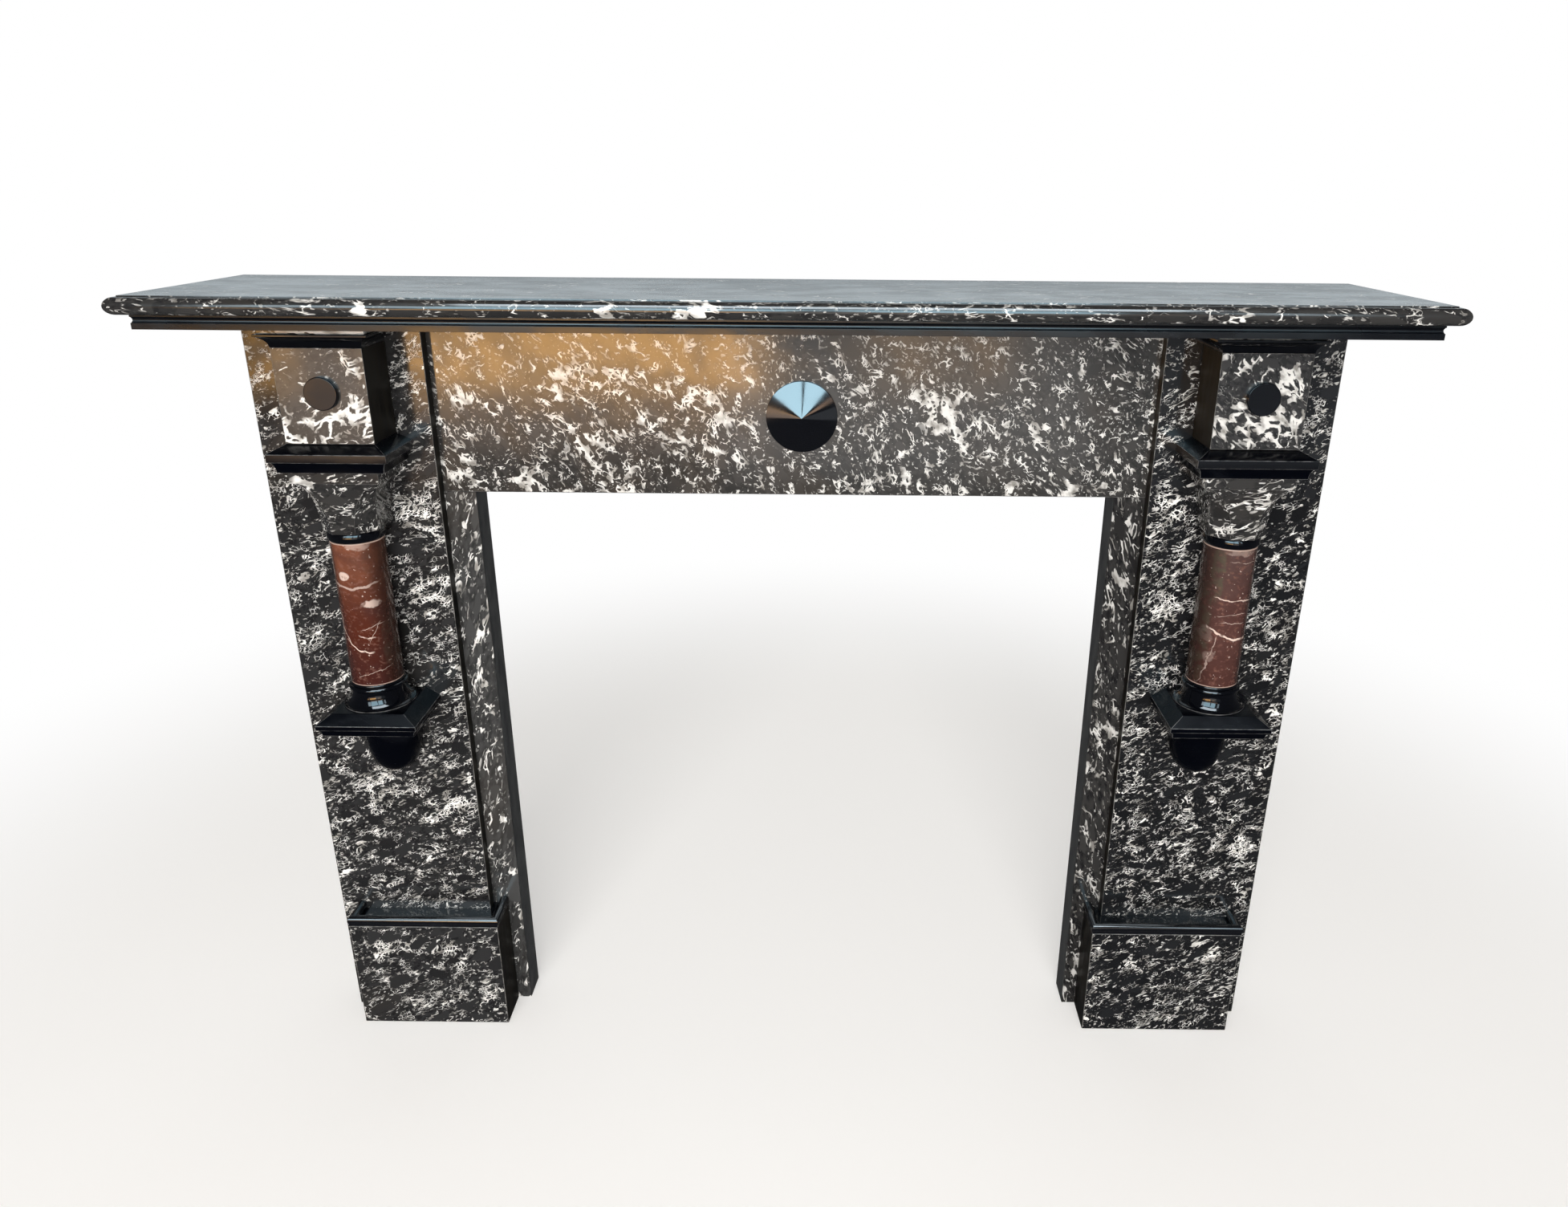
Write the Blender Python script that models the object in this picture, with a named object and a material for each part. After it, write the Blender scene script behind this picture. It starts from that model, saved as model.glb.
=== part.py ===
"""Marble chimneypiece with a pair of engaged columns on its jambs.

The surround is built up from sawn slabs, open at the back: a frieze over two narrow slips and
their plain returns, two jamb slabs with outer returns, and a shelf on a moulded under slab.
Each jamb carries a foot block with its moulding, and a corbel stack: packing, ovolo, block with
a roundel, abacus, capital, necking ring, shaft, turned base, weathered slab and pendant.

Metres, +Z up, the front faces -Y. The origin is on the floor, under the middle of the shelf.
"""

from math import acos, asin, cos, degrees, pi, radians, sin, sqrt

import bmesh
import bpy

# Clearance at every joint between two pieces, and the fineness of the curved stretches
JOINT = 0.0003
QUARTER_STEPS = 6
HALF_ROUND_STEPS = 10
ROUND_SIDES = 32
SMOOTH_ANGLE = 35

# Fire opening and the slabs around it
OPENING_WIDTH = 0.934
OPENING_HEIGHT = 0.922
FRIEZE_HEIGHT = 0.261
SURROUND_DEPTH = 0.048
SLIP_WIDTH = 0.046
SLIP_THICKNESS = 0.020
JAMB_LAP = 0.025

# Jambs
JAMB_WIDTH = 0.247
JAMB_THICKNESS = 0.0187
RETURN_THICKNESS = 0.020

# Shelf and the black slab under it
SHELF_DEPTH = 0.300
SHELF_THICKNESS = 0.022
SHELF_END_OVERHANG = 0.030
SHELF_QUIRK_HEIGHT = 0.0015
SHELF_QUIRK_WIDTH = 0.0015
UNDER_SLAB_THICKNESS = 0.0175
UNDER_SLAB_SETBACK = 0.018
UNDER_FILLET_HEIGHT = 0.003
UNDER_BAND_HEIGHT = 0.0075
UNDER_HOLLOW_DEPTH = 0.002

# Foot blocks and their mouldings
FOOT_WIDTH = 0.2445
FOOT_HEIGHT = 0.197
FOOT_PROJECTION = 0.0445
FOOT_LAP = 0.024
FOOT_LEDGE_HEIGHT = 0.003
FOOT_FILLET_HEIGHT = 0.002
FOOT_BEAD_RADIUS = 0.007
FOOT_BEAD_OVERHANG = 0.0015

# Corbel block, measured from the jamb's inner edge and its face
CORBEL_INSET = 0.0505
BLOCK_WIDTH = 0.121
BLOCK_PROJECTION = 0.0775
BLOCK_HEIGHT = 0.129
PACKING_HEIGHT_LEFT = 0.0215
PACKING_HEIGHT_RIGHT = 0.018
PACKING_OVERHANG = 0.010
OVOLO_HEIGHT = 0.0185
OVOLO_OVERHANG = 0.0135
OVOLO_FLATNESS = 1.5
ROUNDEL_DIAMETER = 0.045
ROUNDEL_PROJECTION = 0.007
ROUNDEL_ARRIS = 0.001
ROUNDEL_RISE = 0.005

# Abacus and capital
ABACUS_OVERHANG = 0.0205
ABACUS_WEATHERING = 0.010
ABACUS_FASCIA_HEIGHT = 0.0115
ABACUS_QUIRK = 0.001
ABACUS_HOLLOW_HEIGHT = 0.016
ABACUS_HOLLOW_DEPTH = 0.008
BAND_WIDTH = 0.124
BAND_PROJECTION = 0.084
BAND_HEIGHT = 0.016
BELL_HEIGHT = 0.0745
BELL_STEPS = 8
CAPITAL_ARRIS = 0.001
NECK_RADIUS = 0.0395

# Column
COLUMN_OFFSET = 0.040
SHAFT_DIAMETER = 0.0744
SHAFT_HEIGHT_LEFT = 0.2195
SHAFT_HEIGHT_RIGHT = 0.213
RING_HEIGHT = 0.015
RING_OVERHANG = 0.0025
BASE_HEIGHT = 0.037
BASE_FOOT_DIAMETER = 0.104
BASE_FILLET_HEIGHT = 0.004
BASE_FILLET_OVERHANG = 0.0015
BASE_TORUS_HEIGHT = 0.0075
BASE_TORUS_OVERHANG = 0.005
BASE_FOOT_EDGE = 0.0015

# Weathered slab under the column and the pendant below it
SLAB_WIDTH = 0.147
SLAB_PROJECTION = 0.108
SLAB_TOP_MARGIN = 0.0015
SLAB_WEATHERING = 0.014
SLAB_FASCIA_HEIGHT = 0.007
SLAB_LOWER_HEIGHT = 0.012
SLAB_LOWER_INSET = 0.006
PENDANT_RADIUS = 0.043
PENDANT_HEIGHT = 0.098
PENDANT_FULLNESS = 3.0
PENDANT_AXIS_OFFSET = 0.015
PENDANT_STEPS = 9
PENDANT_TIP_RADIUS = 0.0057

# Turned boss on the frieze, a little right of the middle
BOSS_DIAMETER = 0.102
BOSS_RIM_HEIGHT = 0.003
BOSS_CONE_HEIGHT = 0.012
BOSS_FACE_OFFSET = 0.011
BOSS_HEIGHT_ABOVE_OPENING = 0.1155
BOSS_TIP_RADIUS = 0.0004
BOSS_SIDES = 48

# Places that follow from the sizes above
WALL_Y = SHELF_DEPTH / 2
OPENING_EDGE = OPENING_WIDTH / 2
JAMB_INNER = OPENING_EDGE + SLIP_WIDTH
JAMB_OUTER = JAMB_INNER + JAMB_WIDTH
SHELF_HALF = JAMB_OUTER + SHELF_END_OVERHANG
JAMB_BACK = SURROUND_DEPTH + JOINT
JAMB_FACE = JAMB_BACK + JAMB_THICKNESS
FRIEZE_TOP = OPENING_HEIGHT + FRIEZE_HEIGHT
UNDER_SLAB_BOTTOM = FRIEZE_TOP + JOINT
SHELF_BOTTOM = UNDER_SLAB_BOTTOM + UNDER_SLAB_THICKNESS + JOINT
CORBEL_X = JAMB_INNER + CORBEL_INSET + BLOCK_WIDTH / 2
CORBEL_BACK = JAMB_FACE + JOINT
COLUMN_DEPTH = CORBEL_BACK + COLUMN_OFFSET
FOOT_INNER = JAMB_INNER - FOOT_LAP
FOOT_OUTER = FOOT_INNER + FOOT_WIDTH
FOOT_FACE = JAMB_FACE + FOOT_PROJECTION

SIDES = {"left": -1, "right": 1}
PACKING_HEIGHTS = {"left": PACKING_HEIGHT_LEFT, "right": PACKING_HEIGHT_RIGHT}
SHAFT_HEIGHTS = {"left": SHAFT_HEIGHT_LEFT, "right": SHAFT_HEIGHT_RIGHT}


def clear_scene():
    for obj in list(bpy.data.objects):
        bpy.data.objects.remove(obj, do_unlink=True)


def make_material(name, color, roughness):
    material = bpy.data.materials.new(name)
    material.use_nodes = True
    shader = material.node_tree.nodes["Principled BSDF"]
    shader.inputs["Base Color"].default_value = (*color, 1.0)
    shader.inputs["Roughness"].default_value = roughness
    shader.inputs["Metallic"].default_value = 0.0
    return material


def add_object(name, bm, material, curved=True):
    """Points the mesh's faces outwards and puts it in the scene, shaded smooth where it curves."""
    bmesh.ops.recalc_face_normals(bm, faces=bm.faces)
    mesh = bpy.data.meshes.new(name)
    bm.to_mesh(mesh)
    bm.free()
    mesh.materials.append(material)
    if curved:
        mesh.shade_smooth()
        mesh.set_sharp_from_angle(angle=radians(SMOOTH_ANGLE))
    bpy.context.collection.objects.link(bpy.data.objects.new(name, mesh))


def loft(rings):
    """A solid through outlines with equal point counts, with both ends closed."""
    bm = bmesh.new()
    loops = [[bm.verts.new(point) for point in ring] for ring in rings]
    count = len(rings[0])
    for lower, upper in zip(loops, loops[1:]):
        for i in range(count):
            j = (i + 1) % count
            bm.faces.new((lower[i], lower[j], upper[j], upper[i]))
    bm.faces.new(loops[0])
    bm.faces.new(loops[-1])
    return bm


def prism(name, plan, bottom, top, material):
    """A slab with an outline in plan. Its points are distances along X and out from the wall."""
    rings = [[(x, WALL_Y - depth, z) for x, depth in plan] for z in (bottom, top)]
    add_object(name, loft(rings), material, curved=False)


def rectangle(x0, x1, back, front):
    return [(x0, back), (x1, back), (x1, front), (x0, front)]


def side_plan(side, plan):
    return [(side * x, depth) for x, depth in plan]


def moulded_slab(name, center, half_width, back, front, profile, material):
    """A slab whose front and two ends carry one moulding and whose back is flat.

    profile is a list of (height, how far the outline is drawn in), from the bottom up.
    """
    rings = []
    for z, inset in profile:
        plan = rectangle(center - half_width + inset, center + half_width - inset, back, front - inset)
        rings.append([(x, WALL_Y - depth, z) for x, depth in plan])
    add_object(name, loft(rings), material)


def arc(center, radius, start, end, steps):
    """Points of a round stretch as (along, up), with angles in degrees from the +along axis."""
    points = []
    for i in range(steps + 1):
        angle = radians(start + (end - start) * i / steps)
        points.append((center[0] + radius * cos(angle), center[1] + radius * sin(angle)))
    return points


def turned(profile, x, depth, sides=ROUND_SIDES):
    """A solid turned about an upright axis from (radius, height) points, bottom to top."""
    rings = []
    for radius, z in profile:
        ring = []
        for i in range(sides):
            angle = 2 * pi * (i + 0.5) / sides
            ring.append((x + radius * cos(angle), WALL_Y - depth + radius * sin(angle), z))
        rings.append(ring)
    return loft(rings)


def turned_outwards(profile, x, depth, z, sides):
    """A solid turned about an axis that points out of the wall, from (radius, projection)."""
    rings = []
    for radius, projection in profile:
        ring = []
        for i in range(sides):
            angle = 2 * pi * (i + 0.5) / sides
            ring.append((x + radius * cos(angle), WALL_Y - depth - projection, z + radius * sin(angle)))
        rings.append(ring)
    return loft(rings)


def cut_flat_behind(bm, depth):
    """Saws off what lies nearer the wall than a depth and closes the sawn face."""
    geometry = bm.verts[:] + bm.edges[:] + bm.faces[:]
    bmesh.ops.bisect_plane(
        bm, geom=geometry, dist=1e-6, plane_co=(0, WALL_Y - depth, 0), plane_no=(0, 1, 0), clear_outer=True
    )
    open_edges = [edge for edge in bm.edges if edge.is_boundary]
    bmesh.ops.holes_fill(bm, edges=open_edges)


def build_shelf(marble):
    """Polished slab with a round nosing and a fine quirk on the front and both ends."""
    radius = (SHELF_THICKNESS - SHELF_QUIRK_HEIGHT) / 2
    profile = []
    for along, up in arc((0, SHELF_BOTTOM + radius), radius, -90, 90, HALF_ROUND_STEPS):
        profile.append((up, radius - along))
    profile.append((profile[-1][0], radius + SHELF_QUIRK_WIDTH))
    profile.append((SHELF_BOTTOM + SHELF_THICKNESS, radius + SHELF_QUIRK_WIDTH))
    moulded_slab("shelf", 0, SHELF_HALF, 0, SHELF_DEPTH, profile, marble)


def build_under_slab(black):
    """Black slab between the surround and the shelf, with a shallow hollow along its edge."""
    bottom = UNDER_SLAB_BOTTOM
    top = bottom + UNDER_SLAB_THICKNESS
    hollow_bottom = bottom + UNDER_BAND_HEIGHT
    hollow_top = top - UNDER_FILLET_HEIGHT
    profile = [(bottom, 0), (hollow_bottom, 0)]
    for i in range(1, QUARTER_STEPS):
        share = i / QUARTER_STEPS
        z = hollow_bottom + (hollow_top - hollow_bottom) * share
        profile.append((z, UNDER_HOLLOW_DEPTH * sin(pi * share)))
    profile += [(hollow_top, 0), (top, 0)]
    half_width = SHELF_HALF - UNDER_SLAB_SETBACK
    front = SHELF_DEPTH - UNDER_SLAB_SETBACK
    moulded_slab("under_slab", 0, half_width, 0, front, profile, black)


def build_frieze(marble):
    """Slab across the top of the opening. Its ends run behind the jambs."""
    half = JAMB_INNER + JAMB_LAP
    plan = rectangle(-half, half, SURROUND_DEPTH - SLIP_THICKNESS, SURROUND_DEPTH)
    prism("frieze", plan, OPENING_HEIGHT, FRIEZE_TOP, marble)


def build_slips(name, side, marble, slate):
    """Narrow slab beside the opening and its plain return, which meet in a mitre."""
    top = OPENING_HEIGHT - JOINT
    back = SURROUND_DEPTH - SLIP_THICKNESS
    inner = OPENING_EDGE
    outer = JAMB_INNER + JAMB_LAP
    lining_back = inner + SLIP_THICKNESS
    slip = [
        (inner + JOINT, SURROUND_DEPTH),
        (lining_back + JOINT, back),
        (outer, back),
        (outer, SURROUND_DEPTH),
    ]
    lining = [
        (inner, SURROUND_DEPTH - JOINT),
        (inner, 0),
        (lining_back, 0),
        (lining_back, back - JOINT),
    ]
    prism(f"slip_{name}", side_plan(side, slip), 0, top, marble)
    prism(f"slip_return_{name}", side_plan(side, lining), 0, top, slate)


def build_jamb(name, side, marble):
    """Wide front slab of one leg and the return that closes its outer side."""
    front = rectangle(JAMB_INNER, JAMB_OUTER, JAMB_BACK, JAMB_FACE)
    edge = rectangle(JAMB_OUTER - RETURN_THICKNESS, JAMB_OUTER, 0, SURROUND_DEPTH)
    prism(f"jamb_{name}", side_plan(side, front), 0, FRIEZE_TOP, marble)
    prism(f"jamb_return_{name}", side_plan(side, edge), 0, FRIEZE_TOP, marble)


def foot_plan(growth):
    """Outline of the foot: over the jamb, and back to the slip beside the jamb's edge."""
    return [
        (FOOT_INNER - growth, JAMB_BACK),
        (JAMB_INNER - JOINT, JAMB_BACK),
        (JAMB_INNER - JOINT, JAMB_FACE + JOINT),
        (FOOT_OUTER + growth, JAMB_FACE + JOINT),
        (FOOT_OUTER + growth, FOOT_FACE + growth),
        (FOOT_INNER - growth, FOOT_FACE + growth),
    ]


def foot_bead_profile():
    """Fillet, bead and the start of the ledge behind it, as (height, growth) from the bottom up."""
    bottom = FOOT_HEIGHT + JOINT
    bead = FOOT_BEAD_RADIUS
    center = (FOOT_BEAD_OVERHANG - bead, bottom + FOOT_FILLET_HEIGHT + bead)
    start = -degrees(acos((bead - FOOT_BEAD_OVERHANG) / bead))
    end = 180 - degrees(asin((FOOT_LEDGE_HEIGHT - FOOT_FILLET_HEIGHT - bead) / bead))
    profile = [(bottom, 0)]
    for along, up in arc(center, bead, start, end, HALF_ROUND_STEPS):
        profile.append((up, along))
    return profile


def build_foot(name, side, marble, black):
    """Plinth block at the bottom of a jamb and the black slab on it, with a bead round its edge.

    The bead runs along the inner side, the front and the outer side, and its ends stop against
    the slip and the jamb.
    """
    prism(f"foot_block_{name}", side_plan(side, foot_plan(0)), 0, FOOT_HEIGHT, marble)
    bm = bmesh.new()
    courses = []
    for z, growth in foot_bead_profile():
        plan = side_plan(side, foot_plan(growth))
        courses.append([bm.verts.new((x, WALL_Y - depth, z)) for x, depth in plan])
    inner_back, step_back, step_front, outer_back, outer_front, inner_front = range(6)
    path = (inner_back, inner_front, outer_front, outer_back)
    for lower, upper in zip(courses, courses[1:]):
        for start, end in zip(path, path[1:]):
            bm.faces.new((lower[start], lower[end], upper[end], upper[start]))
    bottom, ledge = courses[0], courses[-1]
    bm.faces.new(bottom)
    bm.faces.new(ledge)
    bm.faces.new((bottom[step_back], ledge[step_back], ledge[step_front], bottom[step_front]))
    for end, corner in ((inner_back, step_back), (outer_back, step_front)):
        bm.faces.new([course[end] for course in courses] + [ledge[corner], bottom[corner]])
    for course in courses[1:-1]:
        bmesh.ops.delete(bm, geom=[course[step_back], course[step_front]], context="VERTS")
    add_object(f"foot_moulding_{name}", bm, black)


def corbel_slab(name, side, half_width, projection, profile, material):
    """A moulded slab of the corbel stack, centred on the column and flat against the jamb."""
    front = JAMB_FACE + projection
    moulded_slab(name, side * CORBEL_X, half_width, CORBEL_BACK, front, profile, material)


def build_corbel_top(name, side, top, marble, black):
    """Packing piece, black ovolo and the corbel block. Returns the block's underside."""
    half = BLOCK_WIDTH / 2
    bottom = top - PACKING_HEIGHTS[name]
    growth = PACKING_OVERHANG
    profile = [(bottom + JOINT, 0), (top, 0)]
    corbel_slab(f"packing_{name}", side, half + growth, BLOCK_PROJECTION + growth, profile, marble)
    growth = OVOLO_OVERHANG
    profile = []
    for i in range(QUARTER_STEPS + 1):
        angle = radians(90 * i / QUARTER_STEPS)
        z = bottom - OVOLO_HEIGHT + JOINT + (OVOLO_HEIGHT - JOINT) * sin(angle)
        profile.append((z, growth * cos(angle) ** OVOLO_FLATNESS))
    corbel_slab(f"ovolo_{name}", side, half + growth, BLOCK_PROJECTION + growth, profile, black)
    bottom -= OVOLO_HEIGHT
    profile = [(bottom - BLOCK_HEIGHT + JOINT, 0), (bottom, 0)]
    corbel_slab(f"corbel_block_{name}", side, half, BLOCK_PROJECTION, profile, marble)
    bottom -= BLOCK_HEIGHT
    radius = ROUNDEL_DIAMETER / 2
    profile = [
        (radius, 0),
        (radius, ROUNDEL_PROJECTION - ROUNDEL_ARRIS),
        (radius - ROUNDEL_ARRIS, ROUNDEL_PROJECTION),
    ]
    face = JAMB_FACE + BLOCK_PROJECTION + JOINT
    middle = bottom + BLOCK_HEIGHT / 2 + ROUNDEL_RISE
    roundel = turned_outwards(profile, side * CORBEL_X, face, middle, ROUND_SIDES)
    add_object(f"roundel_{name}", roundel, black)
    return bottom


def build_abacus(name, side, top, black):
    """Black slab under the block: weathered top, fascia and a hollow below it."""
    growth = ABACUS_OVERHANG
    arris = top - ABACUS_WEATHERING
    fascia = arris - ABACUS_FASCIA_HEIGHT
    bottom = fascia - ABACUS_HOLLOW_HEIGHT
    profile = []
    for i in range(QUARTER_STEPS + 1):
        angle = radians(90 * i / QUARTER_STEPS)
        z = bottom + JOINT + (ABACUS_HOLLOW_HEIGHT - JOINT) * sin(angle)
        profile.append((z, ABACUS_QUIRK + (ABACUS_HOLLOW_DEPTH - ABACUS_QUIRK) * cos(angle)))
    profile += [(fascia, 0), (arris, 0), (top, growth)]
    half = BLOCK_WIDTH / 2 + growth
    corbel_slab(f"abacus_{name}", side, half, BLOCK_PROJECTION + growth, profile, black)
    return bottom


def capital_outline(axis_x, half, reach, cut, z):
    """One level of the capital: flat behind, with both front corners cut off."""
    x0, x1 = axis_x - half, axis_x + half
    front = COLUMN_DEPTH + reach
    plan = [
        (x0, CORBEL_BACK),
        (x1, CORBEL_BACK),
        (x1, front - cut),
        (x1 - cut, front),
        (x0 + cut, front),
        (x0, front - cut),
    ]
    return [(x, WALL_Y - depth, z) for x, depth in plan]


def build_capital(name, side, top, marble):
    """Marble capital: a square band, then a hollowed bell that ends in an octagon."""
    bottom = top - BAND_HEIGHT - BELL_HEIGHT
    axis_x = side * CORBEL_X
    band_half = BAND_WIDTH / 2
    band_reach = BAND_PROJECTION - JOINT - COLUMN_OFFSET
    octagon_cut = NECK_RADIUS * (2 - sqrt(2))
    rings = []
    for i in range(BELL_STEPS + 1):
        angle = radians(90 * i / BELL_STEPS)
        spread = 1 - cos(angle)
        half = NECK_RADIUS + (band_half - NECK_RADIUS) * spread
        reach = NECK_RADIUS + (band_reach - NECK_RADIUS) * spread
        cut = octagon_cut + (CAPITAL_ARRIS - octagon_cut) * spread
        z = bottom + JOINT + (BELL_HEIGHT - JOINT) * sin(angle)
        rings.append(capital_outline(axis_x, half, reach, cut, z))
    rings.append(capital_outline(axis_x, band_half, band_reach, CAPITAL_ARRIS, top))
    add_object(f"capital_{name}", loft(rings), marble)
    return bottom


def build_ring(name, side, top, black):
    """Black necking ring between the capital and the shaft."""
    bottom = top - RING_HEIGHT
    inner = SHAFT_DIAMETER / 2
    profile = []
    for i in range(HALF_ROUND_STEPS + 1):
        angle = radians(-90 + 180 * i / HALF_ROUND_STEPS)
        z = bottom + JOINT + (RING_HEIGHT - JOINT) * (1 + sin(angle)) / 2
        profile.append((inner + RING_OVERHANG * cos(angle), z))
    bm = turned(profile, side * CORBEL_X, COLUMN_DEPTH)
    cut_flat_behind(bm, CORBEL_BACK)
    add_object(f"necking_ring_{name}", bm, black)
    return bottom


def build_shaft(name, side, top, red):
    """Plain round shaft of red marble."""
    bottom = top - SHAFT_HEIGHTS[name]
    profile = [(SHAFT_DIAMETER / 2, bottom + JOINT), (SHAFT_DIAMETER / 2, top)]
    bm = turned(profile, side * CORBEL_X, COLUMN_DEPTH)
    cut_flat_behind(bm, CORBEL_BACK)
    add_object(f"shaft_{name}", bm, red)
    return bottom


def build_base(name, side, top, black):
    """Turned base: fillet, torus, and a bell-shaped foot."""
    bottom = top - BASE_HEIGHT
    inner = SHAFT_DIAMETER / 2
    fillet_radius = inner + BASE_FILLET_OVERHANG
    fillet_bottom = top - BASE_FILLET_HEIGHT
    torus_bottom = fillet_bottom - BASE_TORUS_HEIGHT
    foot_radius = BASE_FOOT_DIAMETER / 2
    foot_top = bottom + BASE_FOOT_EDGE
    profile = [(foot_radius, bottom + JOINT), (foot_radius, foot_top)]
    for i in range(1, QUARTER_STEPS + 1):
        angle = radians(90 * i / QUARTER_STEPS)
        radius = foot_radius - (foot_radius - fillet_radius) * sin(angle)
        profile.append((radius, foot_top + (torus_bottom - foot_top) * (1 - cos(angle))))
    for i in range(1, HALF_ROUND_STEPS):
        angle = radians(-90 + 180 * i / HALF_ROUND_STEPS)
        z = torus_bottom + BASE_TORUS_HEIGHT * (1 + sin(angle)) / 2
        swell = (BASE_TORUS_OVERHANG - BASE_FILLET_OVERHANG) * cos(angle)
        profile.append((fillet_radius + swell, z))
    profile += [(fillet_radius, fillet_bottom), (fillet_radius, top)]
    bm = turned(profile, side * CORBEL_X, COLUMN_DEPTH)
    cut_flat_behind(bm, CORBEL_BACK)
    add_object(f"column_base_{name}", bm, black)
    return bottom


def build_base_slab(name, side, top, black):
    """Black slab with a weathered top that carries the column."""
    half = SLAB_WIDTH / 2
    foot_half = BASE_FOOT_DIAMETER / 2 + SLAB_TOP_MARGIN
    side_slope = half - foot_half
    front_slope = SLAB_PROJECTION - JOINT - COLUMN_OFFSET - foot_half
    arris = top - SLAB_WEATHERING
    fascia = arris - SLAB_FASCIA_HEIGHT
    bottom = fascia - SLAB_LOWER_HEIGHT
    levels = []
    for i in range(QUARTER_STEPS):
        angle = radians(90 * i / QUARTER_STEPS)
        z = bottom + JOINT + (SLAB_LOWER_HEIGHT - JOINT) * sin(angle)
        inset = SLAB_LOWER_INSET * cos(angle)
        levels.append((z, inset, inset))
    levels += [(fascia, 0, 0), (arris, 0, 0), (top, side_slope, front_slope)]
    rings = []
    for z, side_inset, front_inset in levels:
        x = side * CORBEL_X
        front = JAMB_FACE + SLAB_PROJECTION - front_inset
        plan = rectangle(x - half + side_inset, x + half - side_inset, CORBEL_BACK, front)
        rings.append([(px, WALL_Y - depth, z) for px, depth in plan])
    add_object(f"base_slab_{name}", loft(rings), black)
    return bottom


def build_pendant(name, side, top, black):
    """Turned pendant under the slab, with a blunt rounded end, sawn flat where it meets the jamb."""
    profile = []
    for i in range(PENDANT_STEPS + 1):
        angle = radians(90 * i / PENDANT_STEPS)
        drop = PENDANT_HEIGHT * cos(angle) ** (2 / PENDANT_FULLNESS)
        radius = PENDANT_RADIUS * sin(angle) ** (2 / PENDANT_FULLNESS)
        profile.append((max(radius, PENDANT_TIP_RADIUS), top - drop))
    bm = turned(profile, side * CORBEL_X, CORBEL_BACK + PENDANT_AXIS_OFFSET)
    cut_flat_behind(bm, CORBEL_BACK)
    add_object(f"pendant_{name}", bm, black)


def build_boss(black):
    """Low cone with a thin rim, set on the frieze."""
    radius = BOSS_DIAMETER / 2
    height = BOSS_RIM_HEIGHT + BOSS_CONE_HEIGHT
    profile = [(radius, 0), (radius, BOSS_RIM_HEIGHT), (BOSS_TIP_RADIUS, height)]
    z = OPENING_HEIGHT + BOSS_HEIGHT_ABOVE_OPENING
    bm = turned_outwards(profile, BOSS_FACE_OFFSET, SURROUND_DEPTH + JOINT, z, BOSS_SIDES)
    add_object("frieze_boss", bm, black)


def build_side(name, side, marble, black, red, slate):
    build_slips(name, side, marble, slate)
    build_jamb(name, side, marble)
    build_foot(name, side, marble, black)
    level = build_corbel_top(name, side, FRIEZE_TOP, marble, black)
    level = build_abacus(name, side, level, black)
    level = build_capital(name, side, level, marble)
    level = build_ring(name, side, level, black)
    level = build_shaft(name, side, level, red)
    level = build_base(name, side, level, black)
    level = build_base_slab(name, side, level, black)
    build_pendant(name, side, level, black)


def build_mantelpiece():
    clear_scene()
    marble = make_material("flecked_marble", (0.16, 0.15, 0.14), 0.18)
    black = make_material("black_marble", (0.012, 0.013, 0.016), 0.15)
    red = make_material("red_marble", (0.20, 0.055, 0.035), 0.22)
    slate = make_material("honed_slate", (0.055, 0.06, 0.06), 0.45)
    build_shelf(marble)
    build_under_slab(black)
    build_frieze(marble)
    build_boss(black)
    for name, side in SIDES.items():
        build_side(name, side, marble, black, red, slate)


build_mantelpiece()
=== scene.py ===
"""Looks of the marble chimneypiece: polished slabs, turned pieces and their stone."""

from math import cos, pi, radians, sin, sqrt

import bpy
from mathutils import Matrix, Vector


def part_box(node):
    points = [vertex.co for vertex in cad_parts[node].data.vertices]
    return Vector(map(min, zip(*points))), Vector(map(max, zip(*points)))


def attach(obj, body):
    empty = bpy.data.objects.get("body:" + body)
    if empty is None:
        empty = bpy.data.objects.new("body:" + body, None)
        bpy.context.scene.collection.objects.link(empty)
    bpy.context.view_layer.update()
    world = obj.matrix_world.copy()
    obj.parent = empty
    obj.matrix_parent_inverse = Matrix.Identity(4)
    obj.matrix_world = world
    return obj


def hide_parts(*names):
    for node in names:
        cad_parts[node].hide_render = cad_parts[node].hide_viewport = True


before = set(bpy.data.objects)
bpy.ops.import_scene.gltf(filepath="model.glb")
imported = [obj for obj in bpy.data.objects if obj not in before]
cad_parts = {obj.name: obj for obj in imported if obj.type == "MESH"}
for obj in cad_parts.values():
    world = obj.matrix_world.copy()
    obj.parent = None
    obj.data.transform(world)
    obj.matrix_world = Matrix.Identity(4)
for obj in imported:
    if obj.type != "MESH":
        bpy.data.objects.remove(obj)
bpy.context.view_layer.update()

# Jambs: the wide front slab of each leg, sawn from dark marble full of white shards and polished,
# and the narrower return that closes the leg's outer side. They stand on the floor and are held
# to each other and to the wall with plaster, so their arrises show no fixing.
SLAB_ARRIS = 0.0009
SIDES = {"left": -1, "right": 1}
BEHIND = (0, 1)


def apply_moves():
    bpy.ops.object.transform_apply(location=True, rotation=True, scale=True)


def smooth_below(angle):
    """Shades the piece smooth, but for edges that turn by more degrees than that."""
    bpy.ops.object.shade_smooth_by_angle(angle=radians(angle))


def start_slab(name, low, high):
    """A cube drawn out to a piece's box, left as the only thing selected."""
    bpy.ops.object.select_all(action="DESELECT")
    bpy.ops.mesh.primitive_cube_add(size=1, location=(low + high) / 2)
    slab = bpy.context.object
    slab.name = name
    slab.scale = high - low
    apply_moves()
    return slab


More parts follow.
